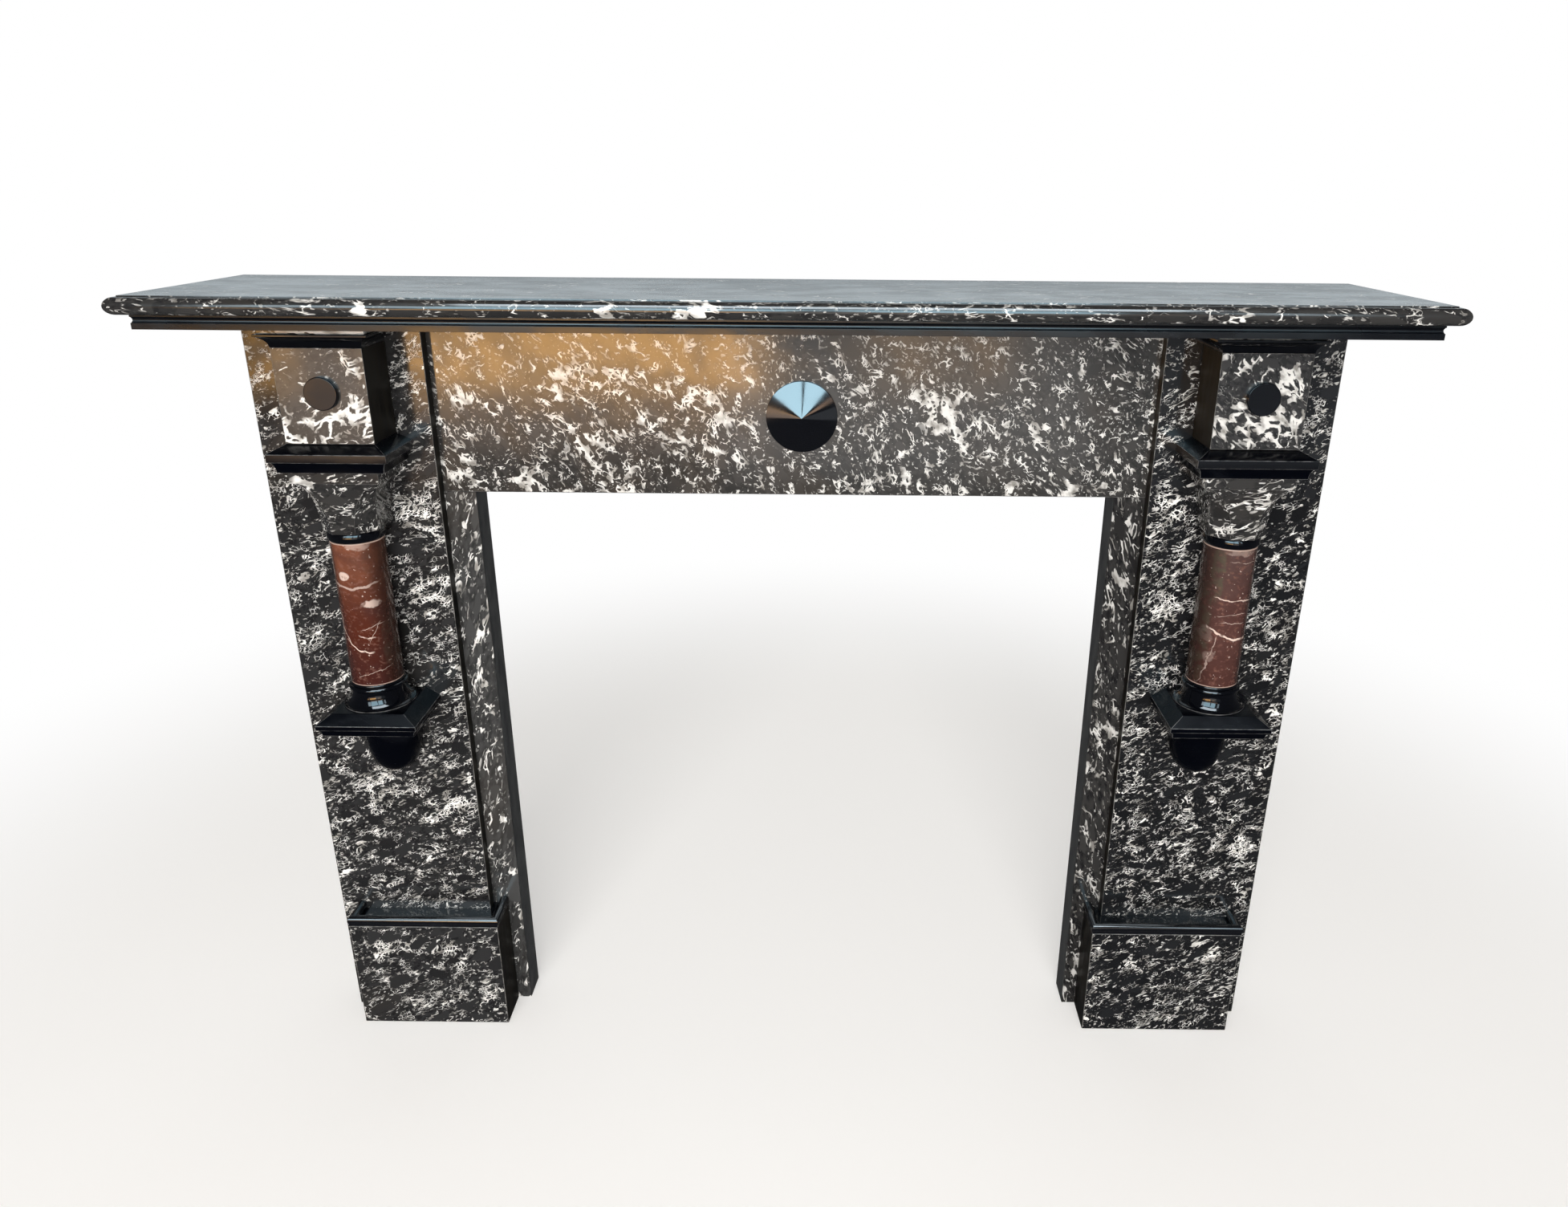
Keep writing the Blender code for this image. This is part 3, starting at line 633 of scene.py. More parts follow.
# Corbel blocks: squared blocks of a bolder marble, grey lumps in a web of thick white veins, stood
# on the abacus and set against the jamb. Their faces are polished, and their sides are near-black
# with painted shade.
BLOCK_ARRIS = 0.0007
BLOCK_STONE = {
    "left": {"turn": -25, "slivers": 62, "thickness": 0.050, "curls": 0.035,
             "dark": (0.036, 0.034, 0.032), "pale": (0.060, 0.056, 0.052), "whiteness": 0.90,
             "crowding": 0.85, "clots": ((-0.036, 0.022, 0.046), (0.002, 0.026, 0.048),
                                         (0.036, 0.030, 0.046), (0.045, 0.100, 0.020))},
    "right": {"turn": 40, "slivers": 66, "thickness": 0.066, "curls": 0.04,
              "dark": (0.010, 0.010, 0.011), "pale": (0.044, 0.043, 0.043), "whiteness": 0.78,
              "crowding": 1.0, "clots": ((-0.040, 0.024, 0.040), (0.000, 0.030, 0.042),
                                         (0.040, 0.044, 0.036), (0.030, 0.092, 0.038),
                                         (-0.030, 0.112, 0.022))},
}
for name, side in SIDES.items():
    low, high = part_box(f"corbel_block_{name}")
    middle = (low.x + high.x) / 2
    values = dict(BLOCK_STONE[name])
    values["clots"] = [(middle + x, low.z + z, radius) for x, z, radius in values["clots"]]
    marble = flecked_marble(f"block_marble_{name}", (0.3, 0.2 * side, 0), stretch=1.35,
                            lumps=60, specks=0.2, patches=0.10, **values)
    block = start_slab(f"squared_block_{name}", low, high)
    give_stones(block, marble, MARBLE_ARRIS_WEAR_AND_HIGHLIGHT, SIDE_SHADE)
    ease_arrises(block, BLOCK_ARRIS)
    # Painted shade on both sides of the block.
    stone_backs_and_shaded_sides(block, 2, (-1, 0), (1, 0))
    hand_over(block, f"corbel_block_{name}")

# Roundels: flat discs of black marble, turned and polished, with a small bevel round the face,
# stuck on the middle of each corbel block.
ROUNDEL_BEVEL = 0.001
ROUNDEL_ARRIS = 0.0003
for name in SIDES:
    low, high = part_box(f"roundel_{name}")
    radius = (high.x - low.x) / 2
    thickness = high.y - low.y
    shoulder = thickness - ROUNDEL_BEVEL
    profile = [(radius, 0), (radius, shoulder), (radius - ROUNDEL_BEVEL, thickness)]
    disc = turn_piece(f"disc_{name}", profile)
    give_stones(disc, BLACK)
    put_in_place(disc, ((low.x + high.x) / 2, high.y, (low.z + high.z) / 2), FACING_OUT)
    ease_arrises(disc, ROUNDEL_ARRIS, 2)
    hand_over(disc, f"roundel_{name}")

# Abaci: slabs of black marble with a weathered top, a plain fascia and a hollow worked below it,
# bedded on the capitals to carry the blocks. The fascia is the best polished part of each.
DULL_BLACK = black_marble("dull_black", (0.7, 0.2, 0), 0.10, (0.18, 0.30),
                          (0.0008, 0.0012, 0.0028))
FASCIA_BLACK = black_marble("fascia_black", (0.4, 0.6, 0), 0.55, (0.12, 0.20))
WEATHERING = 0.010
FASCIA = 0.0115
FASCIA_QUIRK = 0.001
HOLLOW_DEPTH = 0.008
TOP_DIP = 0.003


def keep_top_black(piece, level):
    """Leaves no pale arris, of wear and painted highlight, above a level, where the slab dips
    under the piece it carries.
    """
    for polygon in piece.data.polygons:
        if polygon.center.z > level:
            polygon.material_index = 0


def polish_upright(piece):
    """Gives the upright fascias the third stone, which is better polished than the slopes."""
    for polygon in piece.data.polygons:
        if abs(polygon.normal.z) < 0.05 and polygon.material_index == 0:
            polygon.material_index = 2


for name in SIDES:
    low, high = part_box(f"abacus_{name}")
    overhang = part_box(f"corbel_block_{name}")[0].x - low.x
    height = high.z - low.z
    hollow = height - WEATHERING - FASCIA
    profile = []
    for turn in turns(0, 90, 16):
        inset = FASCIA_QUIRK + (HOLLOW_DEPTH - FASCIA_QUIRK) * cos(turn)
        profile.append((hollow * sin(turn), -inset))
    profile += [(hollow, 0), (hollow + FASCIA, 0), (height, -overhang)]
    slab = moulded_slab(f"abacus_slab_{name}", low, high, profile)
    give_stones(slab, DULL_BLACK, BLACK_ARRIS_WEAR_AND_HIGHLIGHT, FASCIA_BLACK)
    ease_arrises(slab, FINE_ARRIS, 2)
    keep_top_black(slab, high.z - TOP_DIP)
    polish_upright(slab)
    hand_over(slab, f"abacus_{name}")

# Capitals: each carved from one block of flecked marble, a square band on top and under it a
# hollowed bell whose corners are cut away more and more until it ends in an octagon.
BAND_HEIGHT = 0.016
NECK_RADIUS = 0.0395
COLUMN_OFFSET = 0.040
CORNER_CUT = 0.001
BELL_LEVELS = 28
CAPITAL_CLOTS = {
    "left": ((-0.045, 0.070, 0.030), (0.000, 0.082, 0.016), (-0.040, 0.040, 0.018)),
    "right": ((-0.022, 0.012, 0.014), (0.024, 0.022, 0.012), (0.000, 0.050, 0.012)),
}


def level_outline(middle, back, axis_y, half, reach, cut, z):
    """Flat behind, with both front corners cut off."""
    front = axis_y - reach
    sides = ((-half, back), (half, back), (half, front + cut))
    plan = sides + ((half - cut, front), (cut - half, front), (-half, front + cut))
    return [(middle + x, y, z) for x, y in plan]


for name, side in SIDES.items():
    low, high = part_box(f"capital_{name}")
    middle = (low.x + high.x) / 2
    band_half = (high.x - low.x) / 2
    axis_y = high.y - COLUMN_OFFSET
    band_reach = axis_y - low.y
    octagon_cut = NECK_RADIUS * (2 - sqrt(2))
    bell = high.z - low.z - BAND_HEIGHT
    rings = []
    for turn in turns(0, 90, BELL_LEVELS):
        spread = 1 - cos(turn)
        half = NECK_RADIUS + (band_half - NECK_RADIUS) * spread
        reach = NECK_RADIUS + (band_reach - NECK_RADIUS) * spread
        cut = octagon_cut + (CORNER_CUT - octagon_cut) * spread
        level = low.z + bell * sin(turn)
        rings.append(level_outline(middle, high.y, axis_y, half, reach, cut, level))
    rings.append(level_outline(middle, high.y, axis_y, band_half, band_reach, CORNER_CUT, high.z))
    corners = len(rings[0])
    faces = [tuple(range(corners)), tuple(range((len(rings) - 1) * corners, len(rings) * corners))]
    for i in range(len(rings) - 1):
        for j in range(corners):
            k = (j + 1) % corners
            lower = i * corners
            upper = lower + corners
            faces.append((lower + j, lower + k, upper + k, upper + j))
    mesh = bpy.data.meshes.new(f"carved_capital_{name}")
    mesh.from_pydata([point for ring in rings for point in ring], [], faces)
    capital = bpy.data.objects.new(mesh.name, mesh)
    bpy.context.collection.objects.link(capital)
    select_only(capital)
    bpy.ops.object.mode_set(mode="EDIT")
    bpy.ops.mesh.select_all(action="SELECT")
    bpy.ops.mesh.normals_make_consistent(inside=False)
    bpy.ops.object.mode_set(mode="OBJECT")
    clots = [(middle + x, low.z + z, radius) for x, z, radius in CAPITAL_CLOTS[name]]
    marble = flecked_marble(f"capital_marble_{name}", (0.5, 0.4 * side, 0.1), turn=-10, stretch=2,
                            slivers=110, thickness=0.065, curls=0.035, patches=0.08, clots=clots,
                            crowding=1.1)
    give_stones(capital, marble, MARBLE_ARRIS_WEAR_AND_HIGHLIGHT)
    ease_arrises(capital, FINE_ARRIS, 2)
    hand_over(capital, f"capital_{name}")

# Necking rings: rings of black marble, turned to a half round and polished, bedded between each
# capital and the shaft under it.
RING_INSET = 0.001
for name in SIDES:
    low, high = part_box(f"necking_ring_{name}")
    shaft_low, shaft_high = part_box(f"shaft_{name}")
    start = (shaft_high.x - shaft_low.x) / 2 - RING_INSET
    outer = (high.x - low.x) / 2
    height = high.z - low.z
    profile = []
    for turn in turns(-90, 90, 24):
        profile.append((start + (outer - start) * cos(turn), height * (1 + sin(turn)) / 2))
    ring = turn_piece(f"turned_ring_{name}", profile)
    put_in_place(ring, ((low.x + high.x) / 2, low.y + outer, low.z))
    saw_behind(high.y)
    smooth_below(50)
    give_stones(ring, BLACK)
    hand_over(ring, f"necking_ring_{name}")


# Shafts: plain round shafts of brownish red marble, veined white and clouded grey-green. They are
# turned and polished and sawn flat against the jamb. Their ends are pale, partly with wear and
# partly with painted highlight, their sides darken with painted shade, and their tops are lighter,
# partly as a painted glare.
SHAFT_ARRIS = 0.0008
# Height of the pale band at each end of the shaft: partly wear, partly painted highlight.
END_WEAR_AND_HIGHLIGHT = 0.0010
# Each shaft's colour at its top, belly and foot. The lighter top is partly a painted glare.
RED = {
    "left": ((0.195, 0.068, 0.036), (0.082, 0.020, 0.010), (0.050, 0.010, 0.006)),
    "right": ((0.090, 0.053, 0.047), (0.088, 0.040, 0.034), (0.074, 0.030, 0.024)),
}
# Each vein: whether it runs up the shaft, its curve, its start, end, width and strength. A curve
# (a, b, c) lies at a + b * run + c * run squared, from the shaft's middle and foot.
VEINS = {
    "left": (
        (False, (0.152, 0.0, 9.0), -0.034, 0.030, 0.0030, 0.55),
        (True, (0.0143, -0.63, 2.1), 0.068, 0.152, 0.0016, 0.9),
        (False, (0.0547, -0.34, 17.0), -0.022, 0.013, 0.0022, 1.0),
        (False, (0.047, 1.9, 0.0), 0.013, 0.026, 0.0012, 0.8),
        (False, (0.079, -0.2, 0.0), 0.000, 0.018, 0.0022, 0.8),
        (False, (0.088, 0.3, 0.0), 0.004, 0.030, 0.0009, 0.6),
        (False, (0.0175, 0.3, 0.0), -0.012, 0.030, 0.0008, 0.6),
    ),
    "right": (
        (False, (0.1375, -0.10, 0.0), -0.022, 0.034, 0.0015, 0.95),
        (False, (0.1138, 0.05, 0.0), -0.016, 0.022, 0.0007, 0.6),
        (False, (0.1017, -0.05, 0.0), -0.010, 0.024, 0.0008, 0.6),
        (False, (0.0800, -0.35, 6.0), -0.026, 0.030, 0.0033, 1.0),
        (True, (-0.030, 0.20, 0.0), 0.004, 0.080, 0.0014, 0.45),
        (False, (0.194, 0.0, 0.0), -0.008, 0.030, 0.0006, 0.5),
    ),
}
# Pale spots and the grey-green streak: (x, height, half width, half height, strength).
SPOTS = {
    "left": ((-0.012, 0.1725, 0.0065, 0.0065, 0.85), (0.020, 0.128, 0.011, 0.0065, 0.75),
             (0.012, 0.215, 0.016, 0.006, 0.35)),
    "right": ((-0.027, 0.082, 0.008, 0.012, 0.12), (-0.020, 0.048, 0.007, 0.009, 0.18),
              (0.004, 0.208, 0.020, 0.004, 0.2)),
}
GREEN = {
    "left": ((0.022, 0.190, 0.006, 0.030, 0.15), (0.034, 0.060, 0.008, 0.040, 0.35)),
    "right": ((-0.022, 0.175, 0.0085, 0.042, 0.85), (-0.034, 0.085, 0.010, 0.080, 0.75)),
}


def window(tree, value, start, end, soften):
    """One between start and end, fading out at both."""
    rise = ramp(tree, value, start - soften, start + soften)
    return calc(tree, "MULTIPLY", rise, ramp(tree, value, end - soften, end + soften, 1, 0))


def vein(tree, across, up, upright, curve, start, end, width, strength):
    run, over = (up, across) if upright else (across, up)
    bend = calc(tree, "MULTIPLY_ADD", run, curve[2], curve[1])
    middle = calc(tree, "MULTIPLY_ADD", run, bend, curve[0])
    offset = calc(tree, "ABSOLUTE", calc(tree, "SUBTRACT", over, middle))
    line = ramp(tree, offset, width * 0.35, width * 0.65, strength, 0)
    return calc(tree, "MULTIPLY", line, window(tree, run, start, end, 0.003))


def spot(tree, across, up, x, z, half_width, half_height, strength):
    wide = calc(tree, "MULTIPLY", calc(tree, "SUBTRACT", across, x), 1 / half_width)
    high = calc(tree, "MULTIPLY", calc(tree, "SUBTRACT", up, z), 1 / half_height)
    reach = calc(tree, "MULTIPLY_ADD", wide, wide, calc(tree, "MULTIPLY", high, high))
    return ramp(tree, reach, 0.6, 1.3, strength, 0)


def red_marble(name, low, high):
    """The shaft's stone, its figure placed from the middle of its foot."""
    material, tree, shader, vector = start_material(f"red_marble_{name}", (0.2, 0.1, 0.1), 20, 1.4)
    coordinates = object_places(tree)
    centred = vector_calc(tree, "SUBTRACT", coordinates, ((low.x + high.x) / 2, 0, low.z))
    straight = tree.nodes.new("ShaderNodeSeparateXYZ")
    tree.links.new(centred, straight.inputs[0])
    waved = tree.nodes.new("ShaderNodeSeparateXYZ")
    wavy = shift_by_noise(tree, centred, 70, 0.011, 3)
    tree.links.new(wavy, waved.inputs[0])
    across, up = waved.outputs[0], waved.outputs[2]
    height = high.z - low.z
    top, belly, bottom = RED[name]
    red = mix(tree, ramp(tree, up, height * 0.45, height * 0.95), belly, top)
    red = mix(tree, ramp(tree, up, 0, height * 0.5, 1, 0), red, bottom)
    clouded = ramp(tree, cloud(tree, vector, 30, 4, 0.65), 0.35, 0.75, 0, 0.65)
    red = mix(tree, clouded, red, (0.055, 0.020, 0.017))
    flecked = ramp(tree, cloud(tree, vector, 190, 2), 0.52, 0.72, 0, 0.5)
    red = mix(tree, flecked, red, (0.22, 0.10, 0.075))
    green = 0.0
    for place in GREEN[name]:
        green = calc(tree, "MAXIMUM", green, spot(tree, across, up, *place))
    green = calc(tree, "MULTIPLY", green, ramp(tree, cloud(tree, vector, 90, 3), 0.35, 0.6))
    stone = mix(tree, green, red, (0.085, 0.072, 0.050))
    white = ramp(tree, cloud(tree, wavy, 210, 1), 0.71, 0.75, 0, 0.6)
    for place in SPOTS[name]:
        white = calc(tree, "MAXIMUM", white, spot(tree, across, up, *place))
    for line in VEINS[name]:
        white = calc(tree, "MAXIMUM", white, vein(tree, across, up, *line))
    broken = ramp(tree, cloud(tree, coordinates, 120, 2), 0.30, 0.48, 0.25, 1)
    stone = mix(tree, calc(tree, "MULTIPLY", white, broken), stone, (0.74, 0.58, 0.50))
    width = high.x - low.x
    # Painted shade: the shaft darkens towards its left and right sides, as a round polished shaft
    # does when lit from the front.
    edge_shade = calc(tree, "ABSOLUTE", straight.outputs[0])
    edge_shade = ramp(tree, edge_shade, width * 0.20, width * 0.5, 0, 0.8)
    stone = mix(tree, edge_shade, stone, (0.018, 0.009, 0.006))
    # Pale ends of the shaft: partly wear, partly a painted highlight on the arrises.
    ends = ramp(tree, straight.outputs[2], height - 2 * END_WEAR_AND_HIGHLIGHT, height - END_WEAR_AND_HIGHLIGHT)
    foot = ramp(tree, straight.outputs[2], END_WEAR_AND_HIGHLIGHT, 2 * END_WEAR_AND_HIGHLIGHT, 1, 0)
    ends = calc(tree, "MAXIMUM", ends, foot)
    stone = mix(tree, ends, stone, (0.50, 0.36, 0.30))
    finish_stone(tree, shader, stone, cloud(tree, vector, 30, 3), (0.10, 0.20))
    return material


for name in SIDES:
    low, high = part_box(f"shaft_{name}")
    radius = (high.x - low.x) / 2
    shaft = turn_piece(f"red_shaft_{name}", [(radius, 0), (radius, high.z - low.z)])
    give_stones(shaft, red_marble(name, low, high))
    ease_arrises(shaft, SHAFT_ARRIS, 2)
    put_in_place(shaft, ((low.x + high.x) / 2, low.y + radius, low.z))
    saw_behind(high.y)
    hand_over(shaft, f"shaft_{name}")

# Column bases: black marble turned in one piece, with a thin astragal, a torus and a bell-shaped
# foot whose edge is pale grey, partly wear and partly painted highlight, sawn flat behind and
# bedded on the base slab.
ASTRAGAL = 0.004
ASTRAGAL_SWELL = 0.0015
TORUS = 0.0075
TORUS_SWELL = 0.005
FOOT_EDGE = 0.0015
ROLL_ROOT = 0.0005
for name in SIDES:
    low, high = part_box(f"column_base_{name}")
    shaft_low, shaft_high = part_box(f"shaft_{name}")
    inner = (shaft_high.x - shaft_low.x) / 2
    foot = (high.x - low.x) / 2
    height = high.z - low.z
    torus_foot = height - ASTRAGAL - TORUS
    neck = inner + ASTRAGAL_SWELL
    profile = [(foot, 0), (foot, FOOT_EDGE)]
    for turn in turns(0, 90, 16)[1:]:
        up = FOOT_EDGE + (torus_foot - FOOT_EDGE) * (1 - cos(turn))
        profile.append((foot - (foot - neck) * sin(turn), up))
    torus = (height - ASTRAGAL - TORUS / 2, TORUS / 2, TORUS_SWELL)
    astragal = (height - ASTRAGAL / 2, ASTRAGAL / 2, ASTRAGAL_SWELL)
    for center, half, swell in (torus, astragal):
        for turn in turns(-90, 90, 12):
            out = inner + ROLL_ROOT + (swell - ROLL_ROOT) * cos(turn)
            profile.append((out, center + half * sin(turn)))
    base = turn_piece(f"turned_base_{name}", profile)
    put_in_place(base, ((low.x + high.x) / 2, low.y + foot, low.z))
    saw_behind(high.y)
    smooth_below(40)
    give_stones(base, BLACK, BLACK_ARRIS_WEAR_AND_HIGHLIGHT)
    # The foot's edge gets the pale arris stone: partly wear, partly painted highlight.
    for polygon in base.data.polygons:
        polygon.material_index = int(low.z + 0.0002 < polygon.center.z < low.z + FOOT_EDGE)
    hand_over(base, f"column_base_{name}")

# Base slabs: slabs of black marble with a weathered top that falls to a narrow fascia, and a
# rounded edge below it, held to the jamb at their backs.
SLAB_SLOPE = 0.014
SLAB_FASCIA = 0.007
SLAB_INSET = 0.006
SLAB_MARGIN = 0.0015
for name in SIDES:
    low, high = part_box(f"base_slab_{name}")
    base_low, base_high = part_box(f"column_base_{name}")
    width = high.x - low.x
    depth = high.y - low.y
    height = high.z - low.z
    fascia_foot = height - SLAB_SLOPE - SLAB_FASCIA
    top_width = base_high.x - base_low.x + 2 * SLAB_MARGIN
    top_depth = high.y - base_low.y + SLAB_MARGIN
    levels = []
    for turn in turns(0, 90, 12):
        inset = SLAB_INSET * cos(turn)
        levels.append((low.z + fascia_foot * sin(turn), width - 2 * inset, depth - inset))
    levels += [(high.z - SLAB_SLOPE, width, depth), (high.z, top_width, top_depth)]
    start = low + Vector((SLAB_INSET, SLAB_INSET, 0))
    end = (high.x - SLAB_INSET, high.y, low.z)
    slab = start_outline(f"weathered_slab_{name}", start, end)
    raise_levels(levels, ((low.x + high.x) / 2, high.y))
    give_stones(slab, DULL_BLACK, BLACK_ARRIS_WEAR_AND_HIGHLIGHT)
    ease_arrises(slab, FINE_ARRIS, 2)
    keep_top_black(slab, high.z - TOP_DIP)
    hand_over(slab, f"base_slab_{name}")

# Pendants: turned drops of black marble under the base slabs, with a blunt rounded end, sawn flat
# where they meet the jamb and held there with plaster.
PENDANT_FULLNESS = 3.0
for name in SIDES:
    low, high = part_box(f"pendant_{name}")
    radius = (high.x - low.x) / 2
    drop = high.z - low.z
    profile = []
    for turn in turns(0, 90, 40):
        out = radius * sin(turn) ** (2 / PENDANT_FULLNESS)
        up = drop * (1 - cos(turn) ** (2 / PENDANT_FULLNESS))
        profile.append((max(out, 0.001), up))
    pendant = turn_piece(f"turned_pendant_{name}", profile)
    put_in_place(pendant, ((low.x + high.x) / 2, low.y + radius, low.z))
    saw_behind(high.y)
    smooth_below(40)
    give_stones(pendant, DULL_BLACK)
    hand_over(pendant, f"pendant_{name}")

# Under slab: one slab of black marble that lies on the jambs and the frieze, with a shallow hollow
# run between a band and a fillet along its front and ends.
BAND = 0.0075
FILLET = 0.003
HOLLOW = 0.002
HOLLOW_QUIRK = 0.0006
THIN_ARRIS = 0.0004
low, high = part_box("under_slab")
height = high.z - low.z
profile = [(0, 0), (BAND, 0)]
for i in range(13):
    up = BAND + (height - BAND - FILLET) * i / 12
    profile.append((up, -HOLLOW_QUIRK - (HOLLOW - HOLLOW_QUIRK) * sin(pi * i / 12)))
profile += [(height - FILLET, 0), (height, 0)]
slab = moulded_slab("hollowed_under_slab", low, high, profile)
give_stones(slab, black_marble("under_slab_black", (0.1, 0, 0), 0.4, (0.22, 0.36)))
ease_arrises(slab, THIN_ARRIS, 2)
hand_over(slab, "under_slab")

# Shelf: a polished slab of the flecked marble, sparser in white than the rest, with a round nosing
# on its front and ends and a fine quirk where the nosing meets the top.
QUIRK_HEIGHT = 0.0015
QUIRK_WIDTH = 0.0015
low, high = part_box("shelf")
radius = (high.z - low.z - QUIRK_HEIGHT) / 2
nosing = arc((0, radius), radius, turns(-90, 90, 24))
profile = [(up, along - radius) for along, up in nosing]
profile += [(2 * radius, -radius - QUIRK_WIDTH), (high.z - low.z, -radius - QUIRK_WIDTH)]
SHELF_CLOTS = ((-0.212, 1.211, 0.024), (-0.108, 1.208, 0.033), (-0.494, 1.212, 0.015),
               (0.523, 1.208, 0.018))
marble = flecked_marble("shelf_marble", (0.2, 0.7, 0.4), turn=5, stretch=2.0, slivers=90,
                        thickness=0.055, curls=0.02, specks=0.5, patches=0.08, whiteness=0.90,
                        clots=SHELF_CLOTS, crowding=1.2, front=low.y)
shelf = moulded_slab("nosed_shelf", low, high, profile)
ease_arrises(shelf, THIN_ARRIS, 2, 50)
give_stones(shelf, marble, ROUGH_BACK)
stone_backs_and_shaded_sides(shelf, 1, BEHIND)
hand_over(shelf, "shelf")

# Floor and studio: a pale matt floor that fades into the white round it, soft boxes, some of which
# light the stone while others only show in its polish, and the camera.
FLOOR_RADIUS = 2.6
FLOOR_DROP = 0.0005
bpy.ops.object.select_all(action="DESELECT")
bpy.ops.mesh.primitive_circle_add(vertices=128, radius=FLOOR_RADIUS, fill_type="NGON",
                                  location=(0, 0, -FLOOR_DROP))
floor = bpy.context.object
floor.name = "floor"
apply_moves()
paint = bpy.data.materials.new("pale_floor")
paint.use_nodes = True
tree = paint.node_tree
shader = tree.nodes["Principled BSDF"]
distance = vector_calc(tree, "LENGTH", object_places(tree))
rim = ramp(tree, distance, FLOOR_RADIUS * 0.45, FLOOR_RADIUS * 0.97)
tree.links.new(mix(tree, rim, (0.72, 0.71, 0.70), (0, 0, 0)), shader.inputs["Base Color"])
tree.links.new(mix(tree, rim, (0.36, 0.35, 0.34), (1, 1, 1)), shader.inputs["Emission Color"])
shader.inputs["Emission Strength"].default_value = 1
shader.inputs["Roughness"].default_value = 0.8
shader.inputs["Specular IOR Level"].default_value = 0
floor.data.materials.append(paint)
floor.visible_glossy = False

world = bpy.data.worlds.new("studio")
bpy.context.scene.world = world
world.use_nodes = True
tree = world.node_tree
background = tree.nodes["Background"]
background.inputs["Color"].default_value = (0.06, 0.062, 0.068, 1)
plain = tree.nodes.new("ShaderNodeBackground")
plain.inputs["Color"].default_value = (1, 1, 1, 1)
fill = tree.nodes.new("ShaderNodeBackground")
fill.inputs["Color"].default_value = (0.26, 0.255, 0.25, 1)
path = tree.nodes.new("ShaderNodeLightPath")
seen = tree.nodes.new("ShaderNodeMixShader")
tree.links.new(path.outputs["Is Camera Ray"], seen.inputs[0])
filled = tree.nodes.new("ShaderNodeMixShader")
tree.links.new(path.outputs["Is Diffuse Ray"], filled.inputs[0])
tree.links.new(background.outputs[0], filled.inputs[1])
tree.links.new(fill.outputs[0], filled.inputs[2])
tree.links.new(filled.outputs[0], seen.inputs[1])
tree.links.new(plain.outputs[0], seen.inputs[2])
tree.links.new(seen.outputs[0], tree.nodes["World Output"].inputs[0])


def softbox(name, place, aim, width, height, radiance, colour, lights=True, shows=True):
    """A rectangular area light of one radiance, turned towards a point.

    It can be kept from lighting the stone, or from showing in the polish.
    """
    lamp = bpy.data.lights.new(name, "AREA")
    lamp.shape = "RECTANGLE"
    lamp.size = width
    lamp.size_y = height
    lamp.energy = radiance * pi * width * height
    lamp.color = colour
    light = bpy.data.objects.new(name, lamp)
    light.location = place
    light.rotation_euler = (Vector(aim) - Vector(place)).to_track_quat("-Z", "Y").to_euler()
    light.visible_camera = False
    light.visible_diffuse = lights
    light.visible_glossy = shows
    bpy.context.collection.objects.link(light)


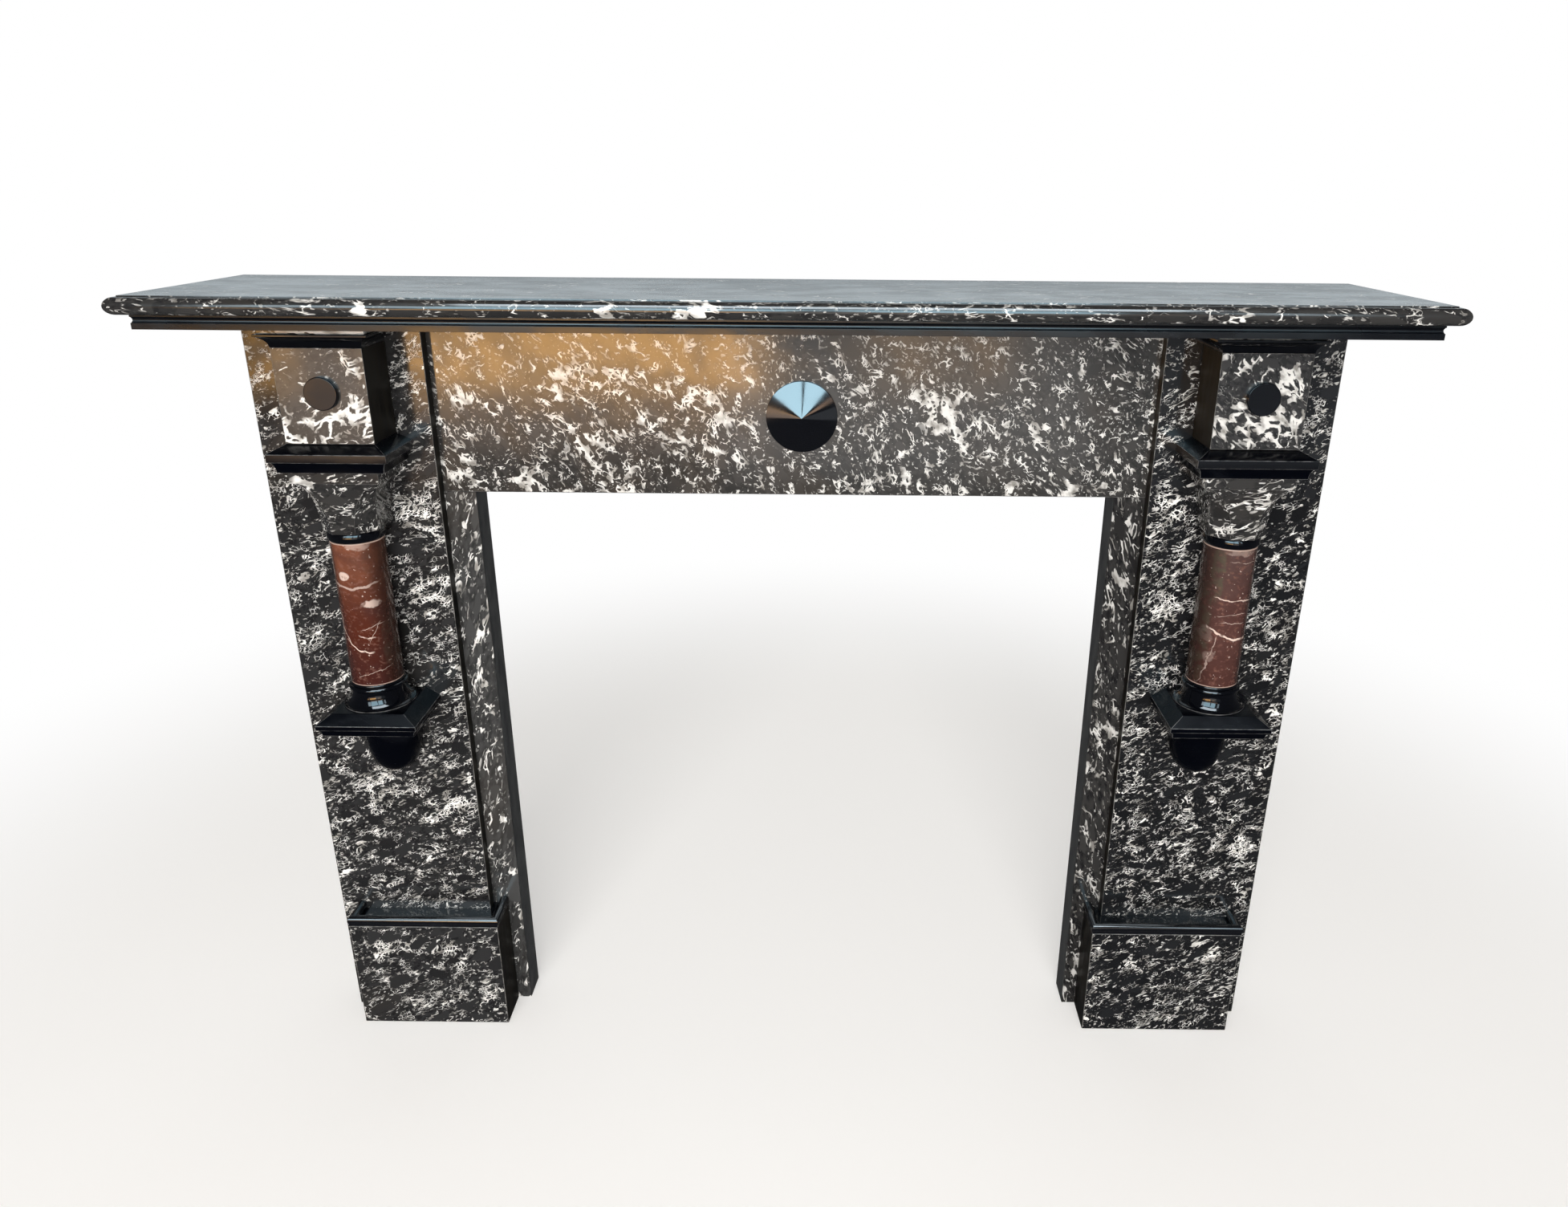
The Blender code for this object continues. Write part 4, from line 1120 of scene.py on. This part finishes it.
SKY = (0.56, 0.85, 1.0)
SIDE_SKY = (0.72, 0.90, 1.0)
LOW_SUN = (1.0, 0.52, 0.13)
softbox("key", (-0.3, -4.1, 2.2), (0, 0, 0.9), 3.2, 2.2, 9, (1.0, 0.985, 0.96), shows=False)
softbox("front_sky_left", (-1.0, -4.1, 2.45), (0, 0, 1.0), 1.85, 2.3, 10, SKY, lights=False)
softbox("front_sky_right", (0.72, -4.1, 2.45), (0, 0, 1.0), 1.30, 2.3, 10, SKY, lights=False)
softbox("side_sky_left", (-2.5, -4.1, 2.5), (-0.6, 0, 0.2), 0.9, 2.2, 7, SIDE_SKY, lights=False)
softbox("side_sky_right", (2.3, -4.1, 2.5), (0.6, 0, 0.2), 0.5, 2.2, 5, SIDE_SKY, lights=False)
softbox("high_sky", (0, -2.9, 5.0), (0, 0, 0.3), 4.0, 2.4, 14.0, (0.80, 0.92, 1.0), lights=False)
softbox("back_sky", (0, 4.5, 3.0), (0, 0, 1.1), 9, 3.0, 0.78, (0.84, 0.95, 1.0))
softbox("sunlit_ground", (-1.55, -5.3, 0.36), (-1.55, 0, 1.0), 2.3, 0.55, 11, LOW_SUN,
        lights=False)
softbox("far_sunlit_ground", (-3.55, -5.3, 0.33), (-3.55, 0, 1.0), 0.45, 0.5, 7, LOW_SUN,
        lights=False)
softbox("near_sunlit_ground", (0.72, -5.3, 0.36), (0.72, 0, 1.0), 0.9, 0.5, 2.2,
        (1.0, 0.55, 0.18), lights=False)
softbox("left_ground", (-1.9, -5.2, 0.18), (-1.9, 0, 1.0), 3.0, 0.95, 1.8, (1.0, 0.74, 0.58))
softbox("far_ground", (0.55, -5.2, 0.1), (0.55, 0, 1.0), 2.3, 1.1, 1.5, (1.0, 0.98, 0.96))
softbox("right_ground", (2.6, -5.2, 0.15), (2.6, 0, 1.0), 1.8, 1.1, 0.3, (0.85, 0.92, 1.0))
softbox("horizon", (0, -5.2, 1.25), (0, 0, 1.25), 4.6, 0.35, 2.6, (1.0, 0.66, 0.45), lights=False)
softbox("overhead", (0, -0.8, 4.2), (0, 0, 0.5), 4.0, 3.0, 0.5, (1.0, 0.93, 0.85), shows=False)

camera = bpy.data.cameras.new("camera")
camera.sensor_width = 36
camera.lens = 24.73
camera.shift_x = -0.02805
camera.shift_y = -0.01505
viewpoint = bpy.data.objects.new("camera", camera)
viewpoint.location = (0.0559, -1.4190, 1.3563)
viewpoint.rotation_euler = (radians(69.5563), radians(-0.4241), radians(0.3758))
bpy.context.collection.objects.link(viewpoint)
bpy.context.scene.camera = viewpoint

bpy.context.scene.view_settings.view_transform = "Standard"
bpy.context.scene.cycles.max_bounces = 4
